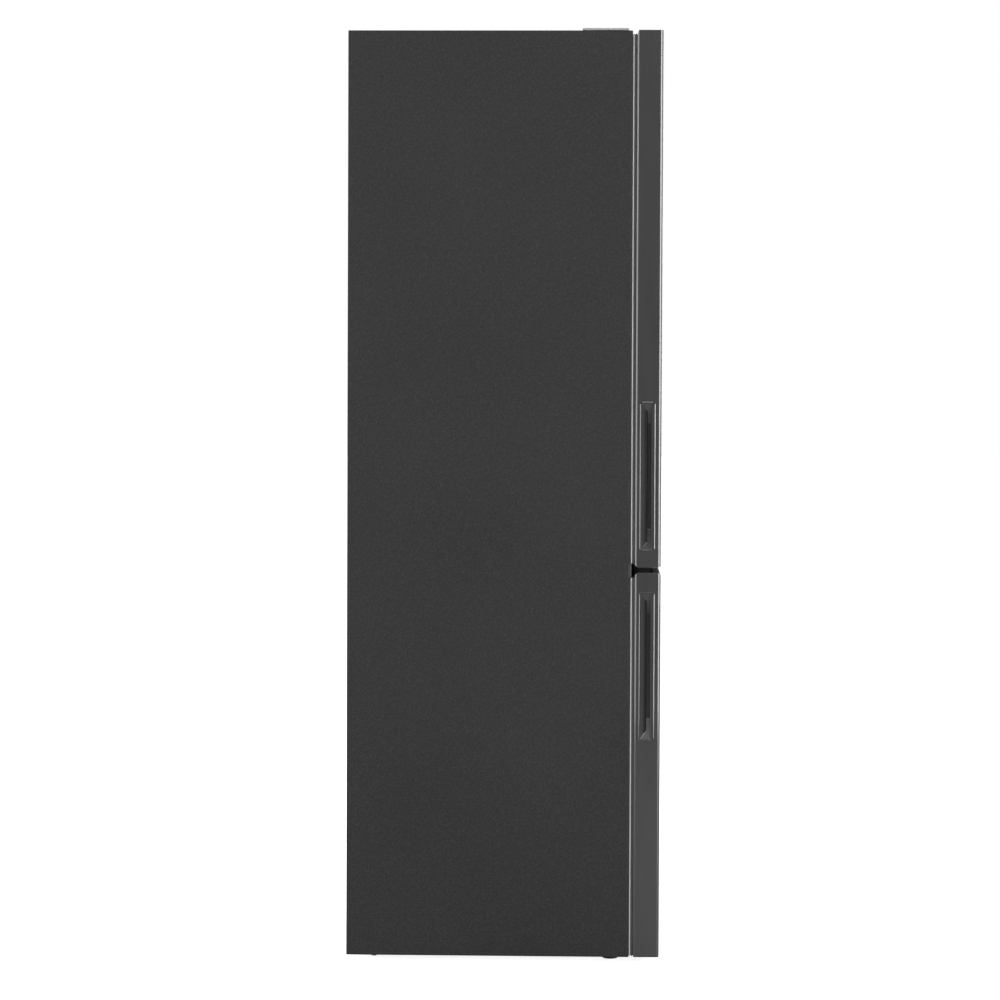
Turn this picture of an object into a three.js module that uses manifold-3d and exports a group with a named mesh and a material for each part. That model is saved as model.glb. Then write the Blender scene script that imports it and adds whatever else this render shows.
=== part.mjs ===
// A free-standing refrigerator, fridge above and freezer below, in millimetres. The floor is z = 0,
// the doors face -Y, and both doors hang on pins at the +X side, so their grips are on the -X side.
import * as THREE from "three";
import { mergeVertices } from "three/addons/utils/BufferGeometryUtils.js";
import Module from "manifold-3d";

// ---------------------------------------------------------------- driving dimensions
const cabinetWidth = 595;
const wholeDepth = 682; // door front to back panel
const cabinetTop = 2025; // steel top above the floor
const floorGap = 14; // cabinet and freezer door above the floor
const steel = 1; // folded sheet
const fit = 0.3; // gap between pieces that meet
const past = 1; // how far a cut runs past a face

// doors
const doorDepth = 56;
const sealGap = 10; // door to cabinet
const doorGap = 12; // between the two doors
const fridgeDoorBottom = 864;
const doorOverTop = 1; // fridge door's top over the cabinet's top
const doorCorner = 5; // bend radius at the front's upright edges
const capHeight = 20;

// cabinet front
const frontFlange = 30; // steel turned in round the front
const railHeight = 30; // cross rail between the doors
const railProud = 2;
const railDepth = 7;
const railLip = 17; // rail's magnet strip above and below it

// moulded inner liners
const linerWall = 2;
const fridgeWall = 45; // insulated side wall
const fridgeRearWall = 56;
const fridgeTopWall = 42;
const fridgeFloorRise = 30; // fridge floor over the cross rail
const freezerWall = 60;
const freezerRearWall = 58;
const freezerFloorRise = 61; // freezer floor over the cabinet's lower edge
const freezerCeilingDrop = 25; // freezer ceiling under the cross rail
const humpRise = 30; // freezer's step over the machine compartment
const humpWall = 29; // and in front of it

// machine compartment
const machineCeiling = 215;
const machineDepth = 206;
const panSteel = 1.5;
const panLip = 36; // upturned front edge of the base pan
const coverPlate = 2;
const coverRecess = 3; // machine cover in from the back
const backPanelDrop = 9; // back panel hangs this far below the machine ceiling

// shelves, drawers and baskets
const glass = 4;
const shelfPlay = 1.5; // shelf edge to side wall
const ledgeWidth = 9;
const ledgeHeight = 8;
const shelfCount = 3;
const crisperRoom = 203; // fridge floor to the glass over the crisper drawer
const topRoom = 247; // top shelf to the ceiling
const shelfSetback = 115; // behind the cabinet's front
const shelfToRear = 27; // shelf's back edge to the compartment's back
const trimHeight = 10;
const trimDepth = 14;
const trimToLedge = 6;
const freezerShelfRises = [187, 455]; // above the freezer's floor
const freezerShelfSetback = 53;
const drawerWall = 2.5;
const drawerFrontWall = 10;
const crisperPlay = 18.5; // clears the open door's seal at the hinge side
const crisperHeadroom = 13;
const crisperToRear = 6; // ends this far before the shelves do
const freezerDrawerPlay = 12.5;
const freezerDrawerSetback = 50;
const drawerToRear = 10; // middle and top drawer to the evaporator cover
const lowDrawerToHump = 8;
const drawerHeadroom = 12; // under the ledge above
const evaporatorSpace = 68; // behind the evaporator cover's front
const basketDepth = 109;
const basketWall = 3;
// each basket's name, its rise over the fridge door's bottom and its height
const basketRises = [["bottom", 88, 120], ["middle", 427, 95], ["top", 772, 95]];

// hinges
const pinInset = 20; // pin axis in from the side
const pinBehindFront = 26;
const pinRadius = 4;
const pinLength = 14;
const hingePlate = 3;

// grips, set into the doors' side
const gripHeight = 325;
const gripWidth = 35;
const gripBehindFront = 12.5;
const gripDepth = 29;
const gripRim = 2.5;
const gripSlot = 9; // dark slot that the fingers go into
const fridgeGripRise = 35; // grip's lower end above the fridge door's bottom
const freezerGripDrop = 41; // grip's upper end below the freezer door's top

// seals
const sealWidth = 16;
const sealBulb = 5;
const sealNeck = 8;
const sealSideInset = 12;
const sealEndInset = 10;
const sealClearance = 1.2; // lets the seal's hinge edge turn past the cabinet

// ---------------------------------------------------------------- places that follow from them
const halfWidth = cabinetWidth / 2;
const panelInner = halfWidth - steel;
const doorFront = -wholeDepth / 2;
const doorRear = doorFront + doorDepth;
const cabinetFront = doorRear + sealGap;
const cabinetRear = wholeDepth / 2;
const fridgeDoorTop = cabinetTop + doorOverTop;
const freezerDoorTop = fridgeDoorBottom - doorGap;
const gapMiddle = (fridgeDoorBottom + freezerDoorTop) / 2;
const railBottom = gapMiddle - railHeight / 2;
const railTop = gapMiddle + railHeight / 2;
const railRear = cabinetFront - railProud + railDepth;
const fridgeHalf = halfWidth - fridgeWall - linerWall;
const fridgeRear = cabinetRear - fridgeRearWall;
const fridgeFloor = railTop + fridgeFloorRise;
const fridgeCeiling = cabinetTop - fridgeTopWall;
const freezerHalf = halfWidth - freezerWall;
const freezerRear = cabinetRear - freezerRearWall;
const freezerFloor = floorGap + freezerFloorRise;
const freezerCeiling = railBottom - freezerCeilingDrop;
const machineFront = cabinetRear - machineDepth;
const humpTop = machineCeiling + humpRise;
const humpFront = machineFront - humpWall;
const foamFront = cabinetFront + linerWall + fit;
const foamRear = cabinetRear - steel - fit;
const foamBottom = floorGap + panSteel + fit;
const pinX = halfWidth - pinInset;
const pinY = doorFront + pinBehindFront;
const shelfFront = cabinetFront + shelfSetback;
const shelfRear = fridgeRear - shelfToRear;
const crisperCoverHeight = fridgeFloor + crisperRoom;
const shelfPitch = (fridgeCeiling - topRoom - crisperCoverHeight) / shelfCount;
const shelfHeights = Array.from({ length: shelfCount }, (_, i) => crisperCoverHeight + (i + 1) * shelfPitch);
const coverFront = freezerRear - evaporatorSpace;
const freezerShelfFront = cabinetFront + freezerShelfSetback;
const freezerShelfHeights = freezerShelfRises.map((rise) => freezerFloor + rise);
const freezerDrawerFront = cabinetFront + freezerDrawerSetback;
const freezerDrawerDepth = coverFront - drawerToRear - freezerDrawerFront;
const lowDrawerDepth = humpFront - lowDrawerToHump - freezerDrawerFront;

// ---------------------------------------------------------------- solid modelling
const wasm = await Module();
wasm.setup();

// A closed geometry as a solid that can be joined and cut.
function solidOf(geometry) {
  const bare = geometry.clone();
  bare.deleteAttribute("normal");
  bare.deleteAttribute("uv");
  const merged = mergeVertices(bare, 1e-4);
  const mesh = new wasm.Mesh({
    numProp: 3,
    vertProperties: merged.attributes.position.array,
    triVerts: new Uint32Array(merged.index.array),
  });
  return new wasm.Manifold(mesh);
}

// A solid's faces as a geometry with flat shading.
function geometryOf(solid) {
  const mesh = solid.getMesh();
  const geometry = new THREE.BufferGeometry();
  const position = new THREE.BufferAttribute(mesh.vertProperties, 3);
  geometry.setAttribute("position", position);
  geometry.setIndex(new THREE.BufferAttribute(mesh.triVerts, 1));
  const flat = geometry.toNonIndexed();
  flat.computeVertexNormals();
  return flat;
}

function join(pieces) {
  const whole = pieces.map(solidOf).reduce((sum, piece) => sum.add(piece));
  return geometryOf(whole);
}

function cut(body, tools) {
  const rest = tools.map(solidOf).reduce((left, tool) => left.subtract(tool), solidOf(body));
  return geometryOf(rest);
}

// A block between two x, two y and two z.
function block([x0, x1], [y0, y1], [z0, z1]) {
  const box = new THREE.BoxGeometry(x1 - x0, y1 - y0, z1 - z0);
  return box.translate((x0 + x1) / 2, (y0 + y1) / 2, (z0 + z1) / 2);
}

const both = (half) => [-half, half];
const about = (centre, half) => [centre - half, centre + half];
// From an inner to an outer distance off the middle, on the left (-1) or right (1) side.
const between = (side, inner, outer) => (side < 0 ? [-outer, -inner] : [inner, outer]);

// A square-edged picture frame: a block with a smaller one taken out through its thickness in y.
function frameRing(half, y, [z0, z1], width) {
  const hole = block(both(half - width), [y[0] - past, y[1] + past], [z0 + width, z1 - width]);
  return cut(block(both(half), y, [z0, z1]), [hole]);
}

// Cylinders along each axis, between two places on it.
function upright(radius, [z0, z1], x = 0, y = 0, sides = 16) {
  const rod = new THREE.CylinderGeometry(radius, radius, z1 - z0, sides).rotateX(Math.PI / 2);
  return rod.translate(x, y, (z0 + z1) / 2);
}

function alongY(radius, [y0, y1], x = 0, z = 0, sides = 16) {
  const rod = new THREE.CylinderGeometry(radius, radius, y1 - y0, sides);
  return rod.translate(x, (y0 + y1) / 2, z);
}

function alongX(radius, [x0, x1], y = 0, z = 0, sides = 16) {
  const rod = new THREE.CylinderGeometry(radius, radius, x1 - x0, sides).rotateZ(Math.PI / 2);
  return rod.translate((x0 + x1) / 2, y, z);
}

// An outline drawn in plan (x, y), raised between two heights.
function raise(shape, [z0, z1], curveSegments = 4) {
  const settings = { depth: z1 - z0, bevelEnabled: false, curveSegments };
  return new THREE.ExtrudeGeometry(shape, settings).translate(0, 0, z0);
}

// An outline drawn from the side (y, z), run between two x.
function runAcross(points, [x0, x1]) {
  const shape = new THREE.Shape(points.map(([y, z]) => new THREE.Vector2(y, z)));
  const solid = new THREE.ExtrudeGeometry(shape, { depth: x1 - x0, bevelEnabled: false });
  return solid.rotateX(Math.PI / 2).rotateZ(Math.PI / 2).translate(x0, 0, 0);
}

// A profile (radius, height) turned about the z axis.
function turned(profile, sides) {
  const points = profile.map(([r, z]) => new THREE.Vector2(r, z));
  return new THREE.LatheGeometry(points, sides).rotateX(Math.PI / 2);
}

const appliance = new THREE.Group();
const cabinet = new THREE.Group();
const fridgeDoor = new THREE.Group();
const freezerDoor = new THREE.Group();
appliance.add(cabinet, fridgeDoor, freezerDoor);

function add(group, name, geometry, finish, position = [0, 0, 0]) {
  const mesh = new THREE.Mesh(geometry, new THREE.MeshStandardMaterial(finish));
  mesh.name = name;
  mesh.position.set(...position);
  group.add(mesh);
}

// ---------------------------------------------------------------- finishes
const sidePaint = { color: 0x393939, roughness: 0.6, metalness: 0.1 };
const doorPaint = { color: 0x474747, roughness: 0.4, metalness: 0.3 };
const blackPlastic = { color: 0x1f1f1f, roughness: 0.5, metalness: 0 };
const greyPlastic = { color: 0x8c8c8c, roughness: 0.5, metalness: 0 };
const whitePlastic = { color: 0xe9ebec, roughness: 0.35, metalness: 0 };
const clearPlastic = { color: 0xd5dde0, roughness: 0.15, metalness: 0 };
const shelfGlass = { color: 0xcfe0dc, roughness: 0.05, metalness: 0 };
const sealRubber = { color: 0x9a9a9a, roughness: 0.7, metalness: 0 };
const softRubber = { color: 0x1a1a1a, roughness: 0.8, metalness: 0 };
const zincSteel = { color: 0xa9abac, roughness: 0.4, metalness: 0.9 };
const blackSteel = { color: 0x161616, roughness: 0.4, metalness: 0.6 };
const aluminium = { color: 0xc3c6c8, roughness: 0.35, metalness: 0.9 };
const copper = { color: 0xb1714d, roughness: 0.35, metalness: 0.9 };
const foamYellow = { color: 0xe3d3a0, roughness: 0.9, metalness: 0 };

// ---------------------------------------------------------------- cabinet shell

// The hollow of each compartment, grown by a wall, with the freezer's step over the machine.
function fridgeSpace(grow, front) {
  return block(both(fridgeHalf + grow), [front, fridgeRear + grow],
    [fridgeFloor - grow, fridgeCeiling + grow]);
}

function freezerSpace(grow, front) {
  const outline = [
    [front, freezerFloor - grow],
    [humpFront + grow, freezerFloor - grow],
    [humpFront + grow, humpTop - grow],
    [freezerRear + grow, humpTop - grow],
    [freezerRear + grow, freezerCeiling + grow],
    [front, freezerCeiling + grow],
  ];
  return runAcross(outline, both(freezerHalf + grow));
}

// One sheet bent over the sides and top, its front edge turned in, notched for the cross rail.
function wrapGeometry() {
  const inside = block(both(panelInner), [cabinetFront + steel, cabinetRear + past],
    [floorGap - past, cabinetTop - steel]);
  const frontOpening = block(both(halfWidth - frontFlange), about(cabinetFront, 2 * steel),
    [floorGap - past, cabinetTop - frontFlange]);
  const railNotch = block(both(halfWidth + past), [cabinetFront - past, railRear + fit],
    [railBottom - fit, railTop + fit]);
  const sheet = block(both(halfWidth), [cabinetFront, cabinetRear], [floorGap, cabinetTop]);
  return cut(sheet, [inside, frontOpening, railNotch]);
}
add(cabinet, "cabinet_wrap", wrapGeometry(), sidePaint);

// The black rail across the front between the doors, with a magnet strip for both seals.
function railGeometry() {
  const bar = block(both(halfWidth - fit), [cabinetFront - railProud, railRear], [railBottom, railTop]);
  const strip = block(both(halfWidth - frontFlange - fit), [cabinetFront, cabinetFront + linerWall],
    [railBottom - railLip, railTop + railLip]);
  return join([bar, strip]);
}
add(cabinet, "mullion_rail", railGeometry(), blackSteel);

const backPanelBottom = machineCeiling - backPanelDrop;
add(cabinet, "back_panel", block(both(panelInner - fit), [cabinetRear - steel, cabinetRear],
  [backPanelBottom, cabinetTop - steel - fit]), greyPlastic);

// A moulded liner: a tray round the compartment with a flange over the cabinet's front.
const linerFlangeHalf = halfWidth - frontFlange - fit;

function linerGeometry(space, flangeBottom, flangeTop, extras, holes) {
  const flange = block(both(linerFlangeHalf), [cabinetFront, cabinetFront + linerWall],
    [flangeBottom, flangeTop]);
  const tray = cut(join([space(linerWall, cabinetFront), flange]), [space(0, cabinetFront - past)]);
  return cut(join([tray, ...extras]), holes);
}

// A ledge along both side walls, on which a shelf rests.
const trimBack = trimDepth + trimToLedge;

function ledges(half, front, rear, shelfZ) {
  const z = [shelfZ - fit - ledgeHeight, shelfZ - fit];
  return [1, -1].map((side) =>
    block(between(side, half - ledgeWidth, half + linerWall / 2), [front, rear], z));
}

const fridgeLedges = [...shelfHeights, crisperCoverHeight].flatMap((z) =>
  ledges(fridgeHalf, shelfFront + trimBack, shelfRear, z));
add(cabinet, "fridge_liner", linerGeometry(fridgeSpace, railTop + railLip + fit,
  cabinetTop - frontFlange - fit, fridgeLedges, []), whitePlastic);

const suction = { radius: 4, x: 40, z: machineCeiling + 87 };
const suctionHole = block(about(suction.x, suction.radius + fit),
  [freezerRear - past, freezerRear + linerWall + past], about(suction.z, suction.radius + fit));
const shelfToCover = 3;
const freezerShelfRear = coverFront - shelfToCover;
const freezerLedges = freezerShelfHeights.flatMap((z) =>
  ledges(freezerHalf, freezerShelfFront + trimBack, freezerShelfRear, z));
add(cabinet, "freezer_liner", linerGeometry(freezerSpace, floorGap + panLip + fit,
  railBottom - railLip - fit, freezerLedges, [suctionHole]), whitePlastic);

// ---------------------------------------------------------------- base pan, feet and rollers
const foot = { x: halfWidth - 72.5, y: cabinetFront + 40, radius: 17, chamfer: 2, padHeight: 8,
  stemRadius: 4, stemTop: 30 };
const roller = { x: halfWidth - 77.5, y: cabinetRear - 56, radius: 13, width: 16, chamfer: 1,
  axleRadius: 3, slotPlay: 3 };
const footBoss = { half: 14, top: 36, boreTop: 32 };
const ear = { gap: 1, wall: 2.5, halfLength: 8, bottom: 7, top: 22 };
const leftAndRight = [["left", -1], ["right", 1]];

function bossBlock(side, grow) {
  return block(about(side * foot.x, footBoss.half + grow), about(foot.y, footBoss.half + grow),
    [floorGap, footBoss.top + grow]);
}

function basePanGeometry() {
  const sheet = [floorGap, floorGap + panSteel];
  const through = [floorGap - past, floorGap + panSteel + past];
  const earStart = roller.width / 2 + ear.gap;
  const solids = [
    block(both(panelInner - fit), [cabinetFront + steel + fit, cabinetRear], sheet),
    block(both(linerFlangeHalf), [cabinetFront, foot.y], sheet),
    block(both(linerFlangeHalf), [cabinetFront, cabinetFront + panSteel], [floorGap, floorGap + panLip]),
  ];
  const cuts = [];
  const earsAndAxles = [];
  for (const [, side] of leftAndRight) {
    const x = side * roller.x;
    const boreZ = [floorGap - past, footBoss.boreTop];
    solids.push(bossBlock(side, 0));
    cuts.push(upright(foot.stemRadius + fit, boreZ, side * foot.x, foot.y));
    cuts.push(block(about(x, earStart + 1), about(roller.y, roller.radius + roller.slotPlay), through));
    for (const end of [-1, 1]) {
      const middle = x + end * (earStart + ear.wall / 2);
      earsAndAxles.push(block(about(middle, ear.wall / 2), about(roller.y, ear.halfLength),
        [ear.bottom, ear.top]));
    }
    const axle = about(x, earStart + ear.wall / 2);
    earsAndAxles.push(alongX(roller.axleRadius, axle, roller.y, roller.radius, 12));
  }
  return join([cut(join(solids), cuts), ...earsAndAxles]);
}
add(cabinet, "base_pan", basePanGeometry(), zincSteel);

const footGeometry = turned([[0, 0], [foot.radius - foot.chamfer, 0], [foot.radius, foot.chamfer],
  [foot.radius, foot.padHeight], [foot.stemRadius, foot.padHeight], [foot.stemRadius, foot.stemTop],
  [0, foot.stemTop]], 20);

function rollerProfile() {
  const bore = roller.axleRadius + fit;
  const half = roller.width / 2;
  const tread = roller.radius - roller.chamfer;
  return turned([[bore, -half], [tread, -half], [roller.radius, roller.chamfer - half],
    [roller.radius, half - roller.chamfer], [tread, half], [bore, half], [bore, -half]], 24);
}
const rollerGeometry = rollerProfile().rotateY(Math.PI / 2);
for (const [name, side] of leftAndRight) {
  add(cabinet, "front_foot_" + name, footGeometry, softRubber, [side * foot.x, foot.y, 0]);
  add(cabinet, "rear_roller_" + name, rollerGeometry, blackPlastic,
    [side * roller.x, roller.y, roller.radius]);
}

// ---------------------------------------------------------------- insulation
const condenserHalf = halfWidth - 97.5;
const condenserRuns = 6;
const condenser = { radius: 2.5, runs: condenserRuns, pitch: (2 * condenserHalf) / (condenserRuns - 1),
  low: machineCeiling + 85, high: cabinetTop - 175, end: machineCeiling - 6 };
const pocketFloor = foamRear - 2 * condenser.radius - fit;
const pipePocket = 10; // foam stays this far from the condenser's pipe

// One block of foam round both liners, with room for the rail, the machine and the pipes.
function foamGeometry() {
  const whole = block(both(panelInner - fit), [foamFront, foamRear],
    [foamBottom, cabinetTop - steel - fit]);
  const machine = block(both(halfWidth), [machineFront, cabinetRear], [floorGap, machineCeiling]);
  const railGroove = block(both(halfWidth), [cabinetFront, railRear + fit],
    [railBottom - fit, railTop + fit]);
  const condenserPocket = block(both(condenserHalf + pipePocket), [pocketFloor, cabinetRear],
    [machineCeiling - past, condenser.high + condenser.pitch / 2 + pipePocket]);
  const suctionChannel = block(about(suction.x, pipePocket), [freezerRear, cabinetRear],
    [machineCeiling - past, suction.z + pipePocket]);
  const bosses = leftAndRight.map(([, side]) => bossBlock(side, fit));
  const gap = linerWall + fit;
  return cut(whole, [fridgeSpace(gap, foamFront - past), freezerSpace(gap, foamFront - past), machine,
    railGroove, condenserPocket, suctionChannel, ...bosses]);
}
add(cabinet, "insulation_foam", foamGeometry(), foamYellow);

// ---------------------------------------------------------------- refrigeration circuit
const compressor = { x: -60, y: cabinetRear - 106, radius: 70, footTop: 28, top: 172, plate: 4 };
const compressorPlate = { halfX: 90, halfY: 56, grommet: 10, grommetInset: 12 };
const compressorPlace = [compressor.x, compressor.y, 0];
// how far the pot's outline draws in, and where, above its feet and below its top
const potBelow = [[18, 0], [4, 14], [0, 34]];
const potAbove = [[0, 50], [6, 24], [28, 6]];

function compressorGeometry() {
  const { radius, footTop, top } = compressor;
  const pot = turned([[0, footTop], ...potBelow.map(([drawn, up]) => [radius - drawn, footTop + up]),
    ...potAbove.map(([drawn, down]) => [radius - drawn, top - down]), [0, top]], 20);
  const plate = block(both(compressorPlate.halfX), both(compressorPlate.halfY),
    [footTop, footTop + compressor.plate]);
  const grommets = both(compressorPlate.halfX - compressorPlate.grommetInset).flatMap((x) =>
    both(compressorPlate.halfY - compressorPlate.grommetInset).map((y) =>
      upright(compressorPlate.grommet, [floorGap + panSteel + fit, footTop + past], x, y, 10)));
  return join([pot, plate, ...grommets]);
}
add(cabinet, "compressor", compressorGeometry(), blackSteel, compressorPlace);

const relay = { depth: 34, half: 28, bottom: 66, top: 140 };
add(cabinet, "relay_box", block(between(-1, compressor.radius + fit, compressor.radius + fit + relay.depth),
  both(relay.half), [relay.bottom, relay.top]), blackPlastic, compressorPlace);

const tray = { halfX: 80, halfY: 62, height: 24, wall: 2 };

function trayGeometry() {
  const bottom = compressor.top + fit;
  const hollow = block(both(tray.halfX - tray.wall), both(tray.halfY - tray.wall),
    [bottom + tray.wall, bottom + tray.height + past]);
  return cut(block(both(tray.halfX), both(tray.halfY), [bottom, bottom + tray.height]), [hollow]);
}
add(cabinet, "drip_tray", trayGeometry(), blackPlastic, compressorPlace);

// The condenser pipe runs up and down behind the back panel: its centre line, then its outline.
function condenserGeometry() {
  const centre = [];
  const bend = condenser.pitch / 2;
  for (let run = 0; run < condenser.runs; run++) {
    const x = run * condenser.pitch - condenserHalf;
    const up = run % 2 === 0;
    const first = run === 0;
    const last = run === condenser.runs - 1;
    const low = first || last ? condenser.end : condenser.low;
    centre.push([x, up ? low : condenser.high, 0], [x, up ? condenser.high : low, 0]);
    const turn = up ? 1 : -1;
    const z = up ? condenser.high : condenser.low;
    for (let k = 1; k < 6 && !last; k++) {
      const angle = Math.PI - (k * Math.PI) / 6;
      centre.push([x + bend + bend * Math.cos(angle), z + turn * bend * Math.sin(angle)]);
    }
  }
  const edge = (side) => centre.map(([x, z], i) => {
    const [ax, az] = centre[Math.max(i - 1, 0)];
    const [bx, bz] = centre[Math.min(i + 1, centre.length - 1)];
    const straight = Math.hypot(bx - ax, bz - az);
    return new THREE.Vector2(x + (side * (bz - az)) / straight, z - (side * (bx - ax)) / straight);
  });
  const flat = condenser.radius * 0.42; // half of the pipe's flat, the rest of its section is chamfer
  const chamfer = condenser.radius - flat;
  const shape = new THREE.Shape([...edge(1), ...edge(-1).reverse()]);
  const widened = new THREE.ExtrudeGeometry(shape, { depth: 2 * flat, bevelEnabled: true,
    bevelThickness: chamfer, bevelSize: chamfer, bevelSegments: 1 });
  return widened.rotateX(Math.PI / 2).translate(0, foamRear - condenser.radius + flat, 0);
}
add(cabinet, "condenser_coil", condenserGeometry(), copper);

const drier = { radius: 9, length: 110, neck: 3, lowerCone: 12, upperCone: 8, mouth: 6 };
const machineCoverRear = cabinetRear - coverRecess;
const drierY = machineCoverRear - coverPlate - fit - drier.radius;
const drierProfile = [[0, -drier.length], [drier.neck, -drier.length],
  [drier.radius, drier.lowerCone - drier.length], [drier.radius, -drier.upperCone], [drier.mouth, 0], [0, 0]];
add(cabinet, "filter_drier", turned(drierProfile, 14), copper,
  [condenserHalf, drierY, condenser.end - fit]);

// The suction pipe climbs from the compressor through the foam and enters the freezer's back.
const suctionStart = { run: 14, z: 96 };

function suctionGeometry() {
  const { x, z } = suction;
  const startX = compressor.x + compressor.radius + fit;
  const startZ = suctionStart.z;
  const climbY = freezerRear + linerWall + 24;
  const route = [[startX, compressor.y, startZ], [startX + suctionStart.run, compressor.y, startZ + 1],
    [x, compressor.y + 9, startZ + 20], [x, compressor.y + 33, startZ + 62],
    [x, climbY - 9, machineCeiling - 10], [x, climbY, machineCeiling + 25], [x, climbY, z - 32],
    [x, climbY - 9, z - 6], [x, climbY - 24, z], [x, freezerRear, z]];
  const path = new THREE.CatmullRomCurve3(route.map((p) => new THREE.Vector3(...p)));
  const section = new THREE.Shape(Array.from({ length: 8 }, (_, k) => {
    const angle = (k * Math.PI) / 4;
    return new THREE.Vector2(suction.radius * Math.cos(angle), suction.radius * Math.sin(angle));
  }));
  return new THREE.ExtrudeGeometry(section, { steps: 30, extrudePath: path });
}
add(cabinet, "suction_line", suctionGeometry(), copper);

// The evaporator: upright fins on a spine, behind the freezer's rear cover.
const evaporator = { half: freezerHalf - 47.5, bottom: humpTop + 17, height: 200, spine: 6, fin: 3,
  fins: 21, setback: 11 };

function evaporatorGeometry() {
  const { half, fin, fins, spine } = evaporator;
  const z = [evaporator.bottom, evaporator.bottom + evaporator.height];
  const rear = freezerRear - fit;
  const front = coverFront + evaporator.setback;
  const pieces = [block(both(half), [rear - spine, rear], z)];
  for (let k = 0; k < fins; k++) {
    const middle = (2 * k / (fins - 1) - 1) * (half - fin / 2);
    pieces.push(block(about(middle, fin / 2), [front, rear], z));
  }
  return join(pieces);
}
add(cabinet, "evaporator", evaporatorGeometry(), aluminium);

const coverWall = 2.5;
const coverToHump = 5;
const fan = { z: freezerCeiling - 122, radius: 55, hub: 18, hubLength: 18, shaft: 3, blades: 5,
  blade: { chord: 13, thickness: 2, root: 4, twist: 0.6 }, motorRadius: 26, motorLength: 24 };
const coverSlots = { half: 70, halfHeight: 4, pitch: 18, count: 7 };

function evaporatorCoverGeometry() {
  const half = freezerHalf - fit;
  const y = [coverFront, freezerRear - fit];
  const z = [humpTop + coverToHump, freezerCeiling - fit];
  const inside = block(both(half - coverWall), [y[0] + coverWall, y[1] + past],
    [z[0] - past, z[1] - coverWall]);
  const slots = Array.from({ length: coverSlots.count }, (_, k) => {
    const rise = (k - (coverSlots.count - 1) / 2) * coverSlots.pitch;
    return block(both(coverSlots.half), about(coverFront, 2 * coverWall),
      about(fan.z + rise, coverSlots.halfHeight));
  });
  return cut(block(both(half), y, z), [inside, ...slots]);
}
add(cabinet, "evaporator_cover", evaporatorCoverGeometry(), whitePlastic);

// The fan turns on its motor's shaft, which points at the cover's slots.
const motorFront = freezerRear - fit - fan.motorLength;
const motorGeometry = join([alongY(fan.motorRadius, [motorFront, freezerRear - fit], 0, 0, 18),
  alongY(fan.shaft, [motorFront - fan.hubLength - fit, motorFront + past], 0, 0, 12)]);
add(cabinet, "fan_motor", motorGeometry, blackPlastic, [0, 0, fan.z]);

function fanGeometry() {
  const { chord, thickness, root, twist } = fan.blade;
  const hub = alongY(fan.hub, [-fan.hubLength, 0], 0, 0, 18);
  const bladeLength = fan.radius - fan.hub + root;
  const blades = Array.from({ length: fan.blades }, (_, k) => {
    const blade = new THREE.BoxGeometry(bladeLength, chord, thickness).rotateX(twist);
    return blade.translate(fan.hub - root + bladeLength / 2, -fan.hubLength / 2, 0)
      .rotateY((k * 2 * Math.PI) / fan.blades);
  });
  return cut(join([hub, ...blades]), [alongY(fan.shaft + fit, [-fan.hubLength - past, past], 0, 0, 12)]);
}
add(cabinet, "evaporator_fan", fanGeometry(), blackPlastic, [0, motorFront - fit, fan.z]);

// ---------------------------------------------------------------- electrics and machine cover
const gland = { x: 97.5 - halfWidth, z: 52, radius: 8, flange: 14, bore: 4, neck: 10 };
const louvre = { x: 120, half: 80, halfHeight: 3, low: 70, pitch: 18, count: 6 };

function machineCoverGeometry() {
  const through = about(machineCoverRear, 2 * coverPlate);
  const plate = block(both(panelInner - fit), [machineCoverRear - coverPlate, machineCoverRear],
    [floorGap + panSteel + fit, backPanelBottom - fit]);
  const slots = both(louvre.x).flatMap((x) => Array.from({ length: louvre.count }, (_, k) =>
    block(about(x, louvre.half), through, about(louvre.low + k * louvre.pitch, louvre.halfHeight))));
  return cut(plate, [...slots, alongY(gland.radius + fit, through, gland.x, gland.z)]);
}
add(cabinet, "machine_cover", machineCoverGeometry(), blackPlastic);

const glandFlange = coverRecess - fit;
const glandEnd = glandFlange + gland.neck;
const glandProfile = [[gland.bore, 0], [gland.flange, 0], [gland.flange, glandFlange],
  [gland.radius, glandFlange], [gland.radius, glandEnd], [gland.bore, glandEnd], [gland.bore, 0]];
add(cabinet, "cord_gland", turned(glandProfile, 16).rotateX(Math.PI / 2), softRubber,
  [gland.x, cabinetRear, gland.z]);

const boardBox = { width: 42, y: [machineFront + 35, cabinetRear - 41], z: [70, 180] };
const boxWall = panelInner - fit;
add(cabinet, "control_board_box", block(between(-1, boxWall - boardBox.width, boxWall),
  boardBox.y, boardBox.z), whitePlastic);

// ---------------------------------------------------------------- inside the fridge
const duct = { half: 95, wall: 2.5, bottom: fridgeFloor + 33, top: fridgeCeiling - 83, depth: 22 };
const outlet = { half: 55, halfHeight: 4, underShelf: 60, underTop: 80 };

function ductGeometry() {
  const y = [fridgeRear - fit - duct.depth, fridgeRear - fit];
  const inside = block(both(duct.half - duct.wall), [y[0] + duct.wall, y[1] + past],
    [duct.bottom + duct.wall, duct.top - duct.wall]);
  const heights = [...shelfHeights.map((z) => z - outlet.underShelf), duct.top - outlet.underTop];
  const outlets = heights.map((z) =>
    block(both(outlet.half), about(y[0], 2 * duct.wall), about(z, outlet.halfHeight)));
  return cut(block(both(duct.half), y, [duct.bottom, duct.top]), [inside, ...outlets]);
}
add(cabinet, "air_duct_cover", ductGeometry(), whitePlastic);

const lamp = { half: 110, front: cabinetFront + 125, rear: cabinetFront + 205, depth: 12, corner: 10 };

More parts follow.
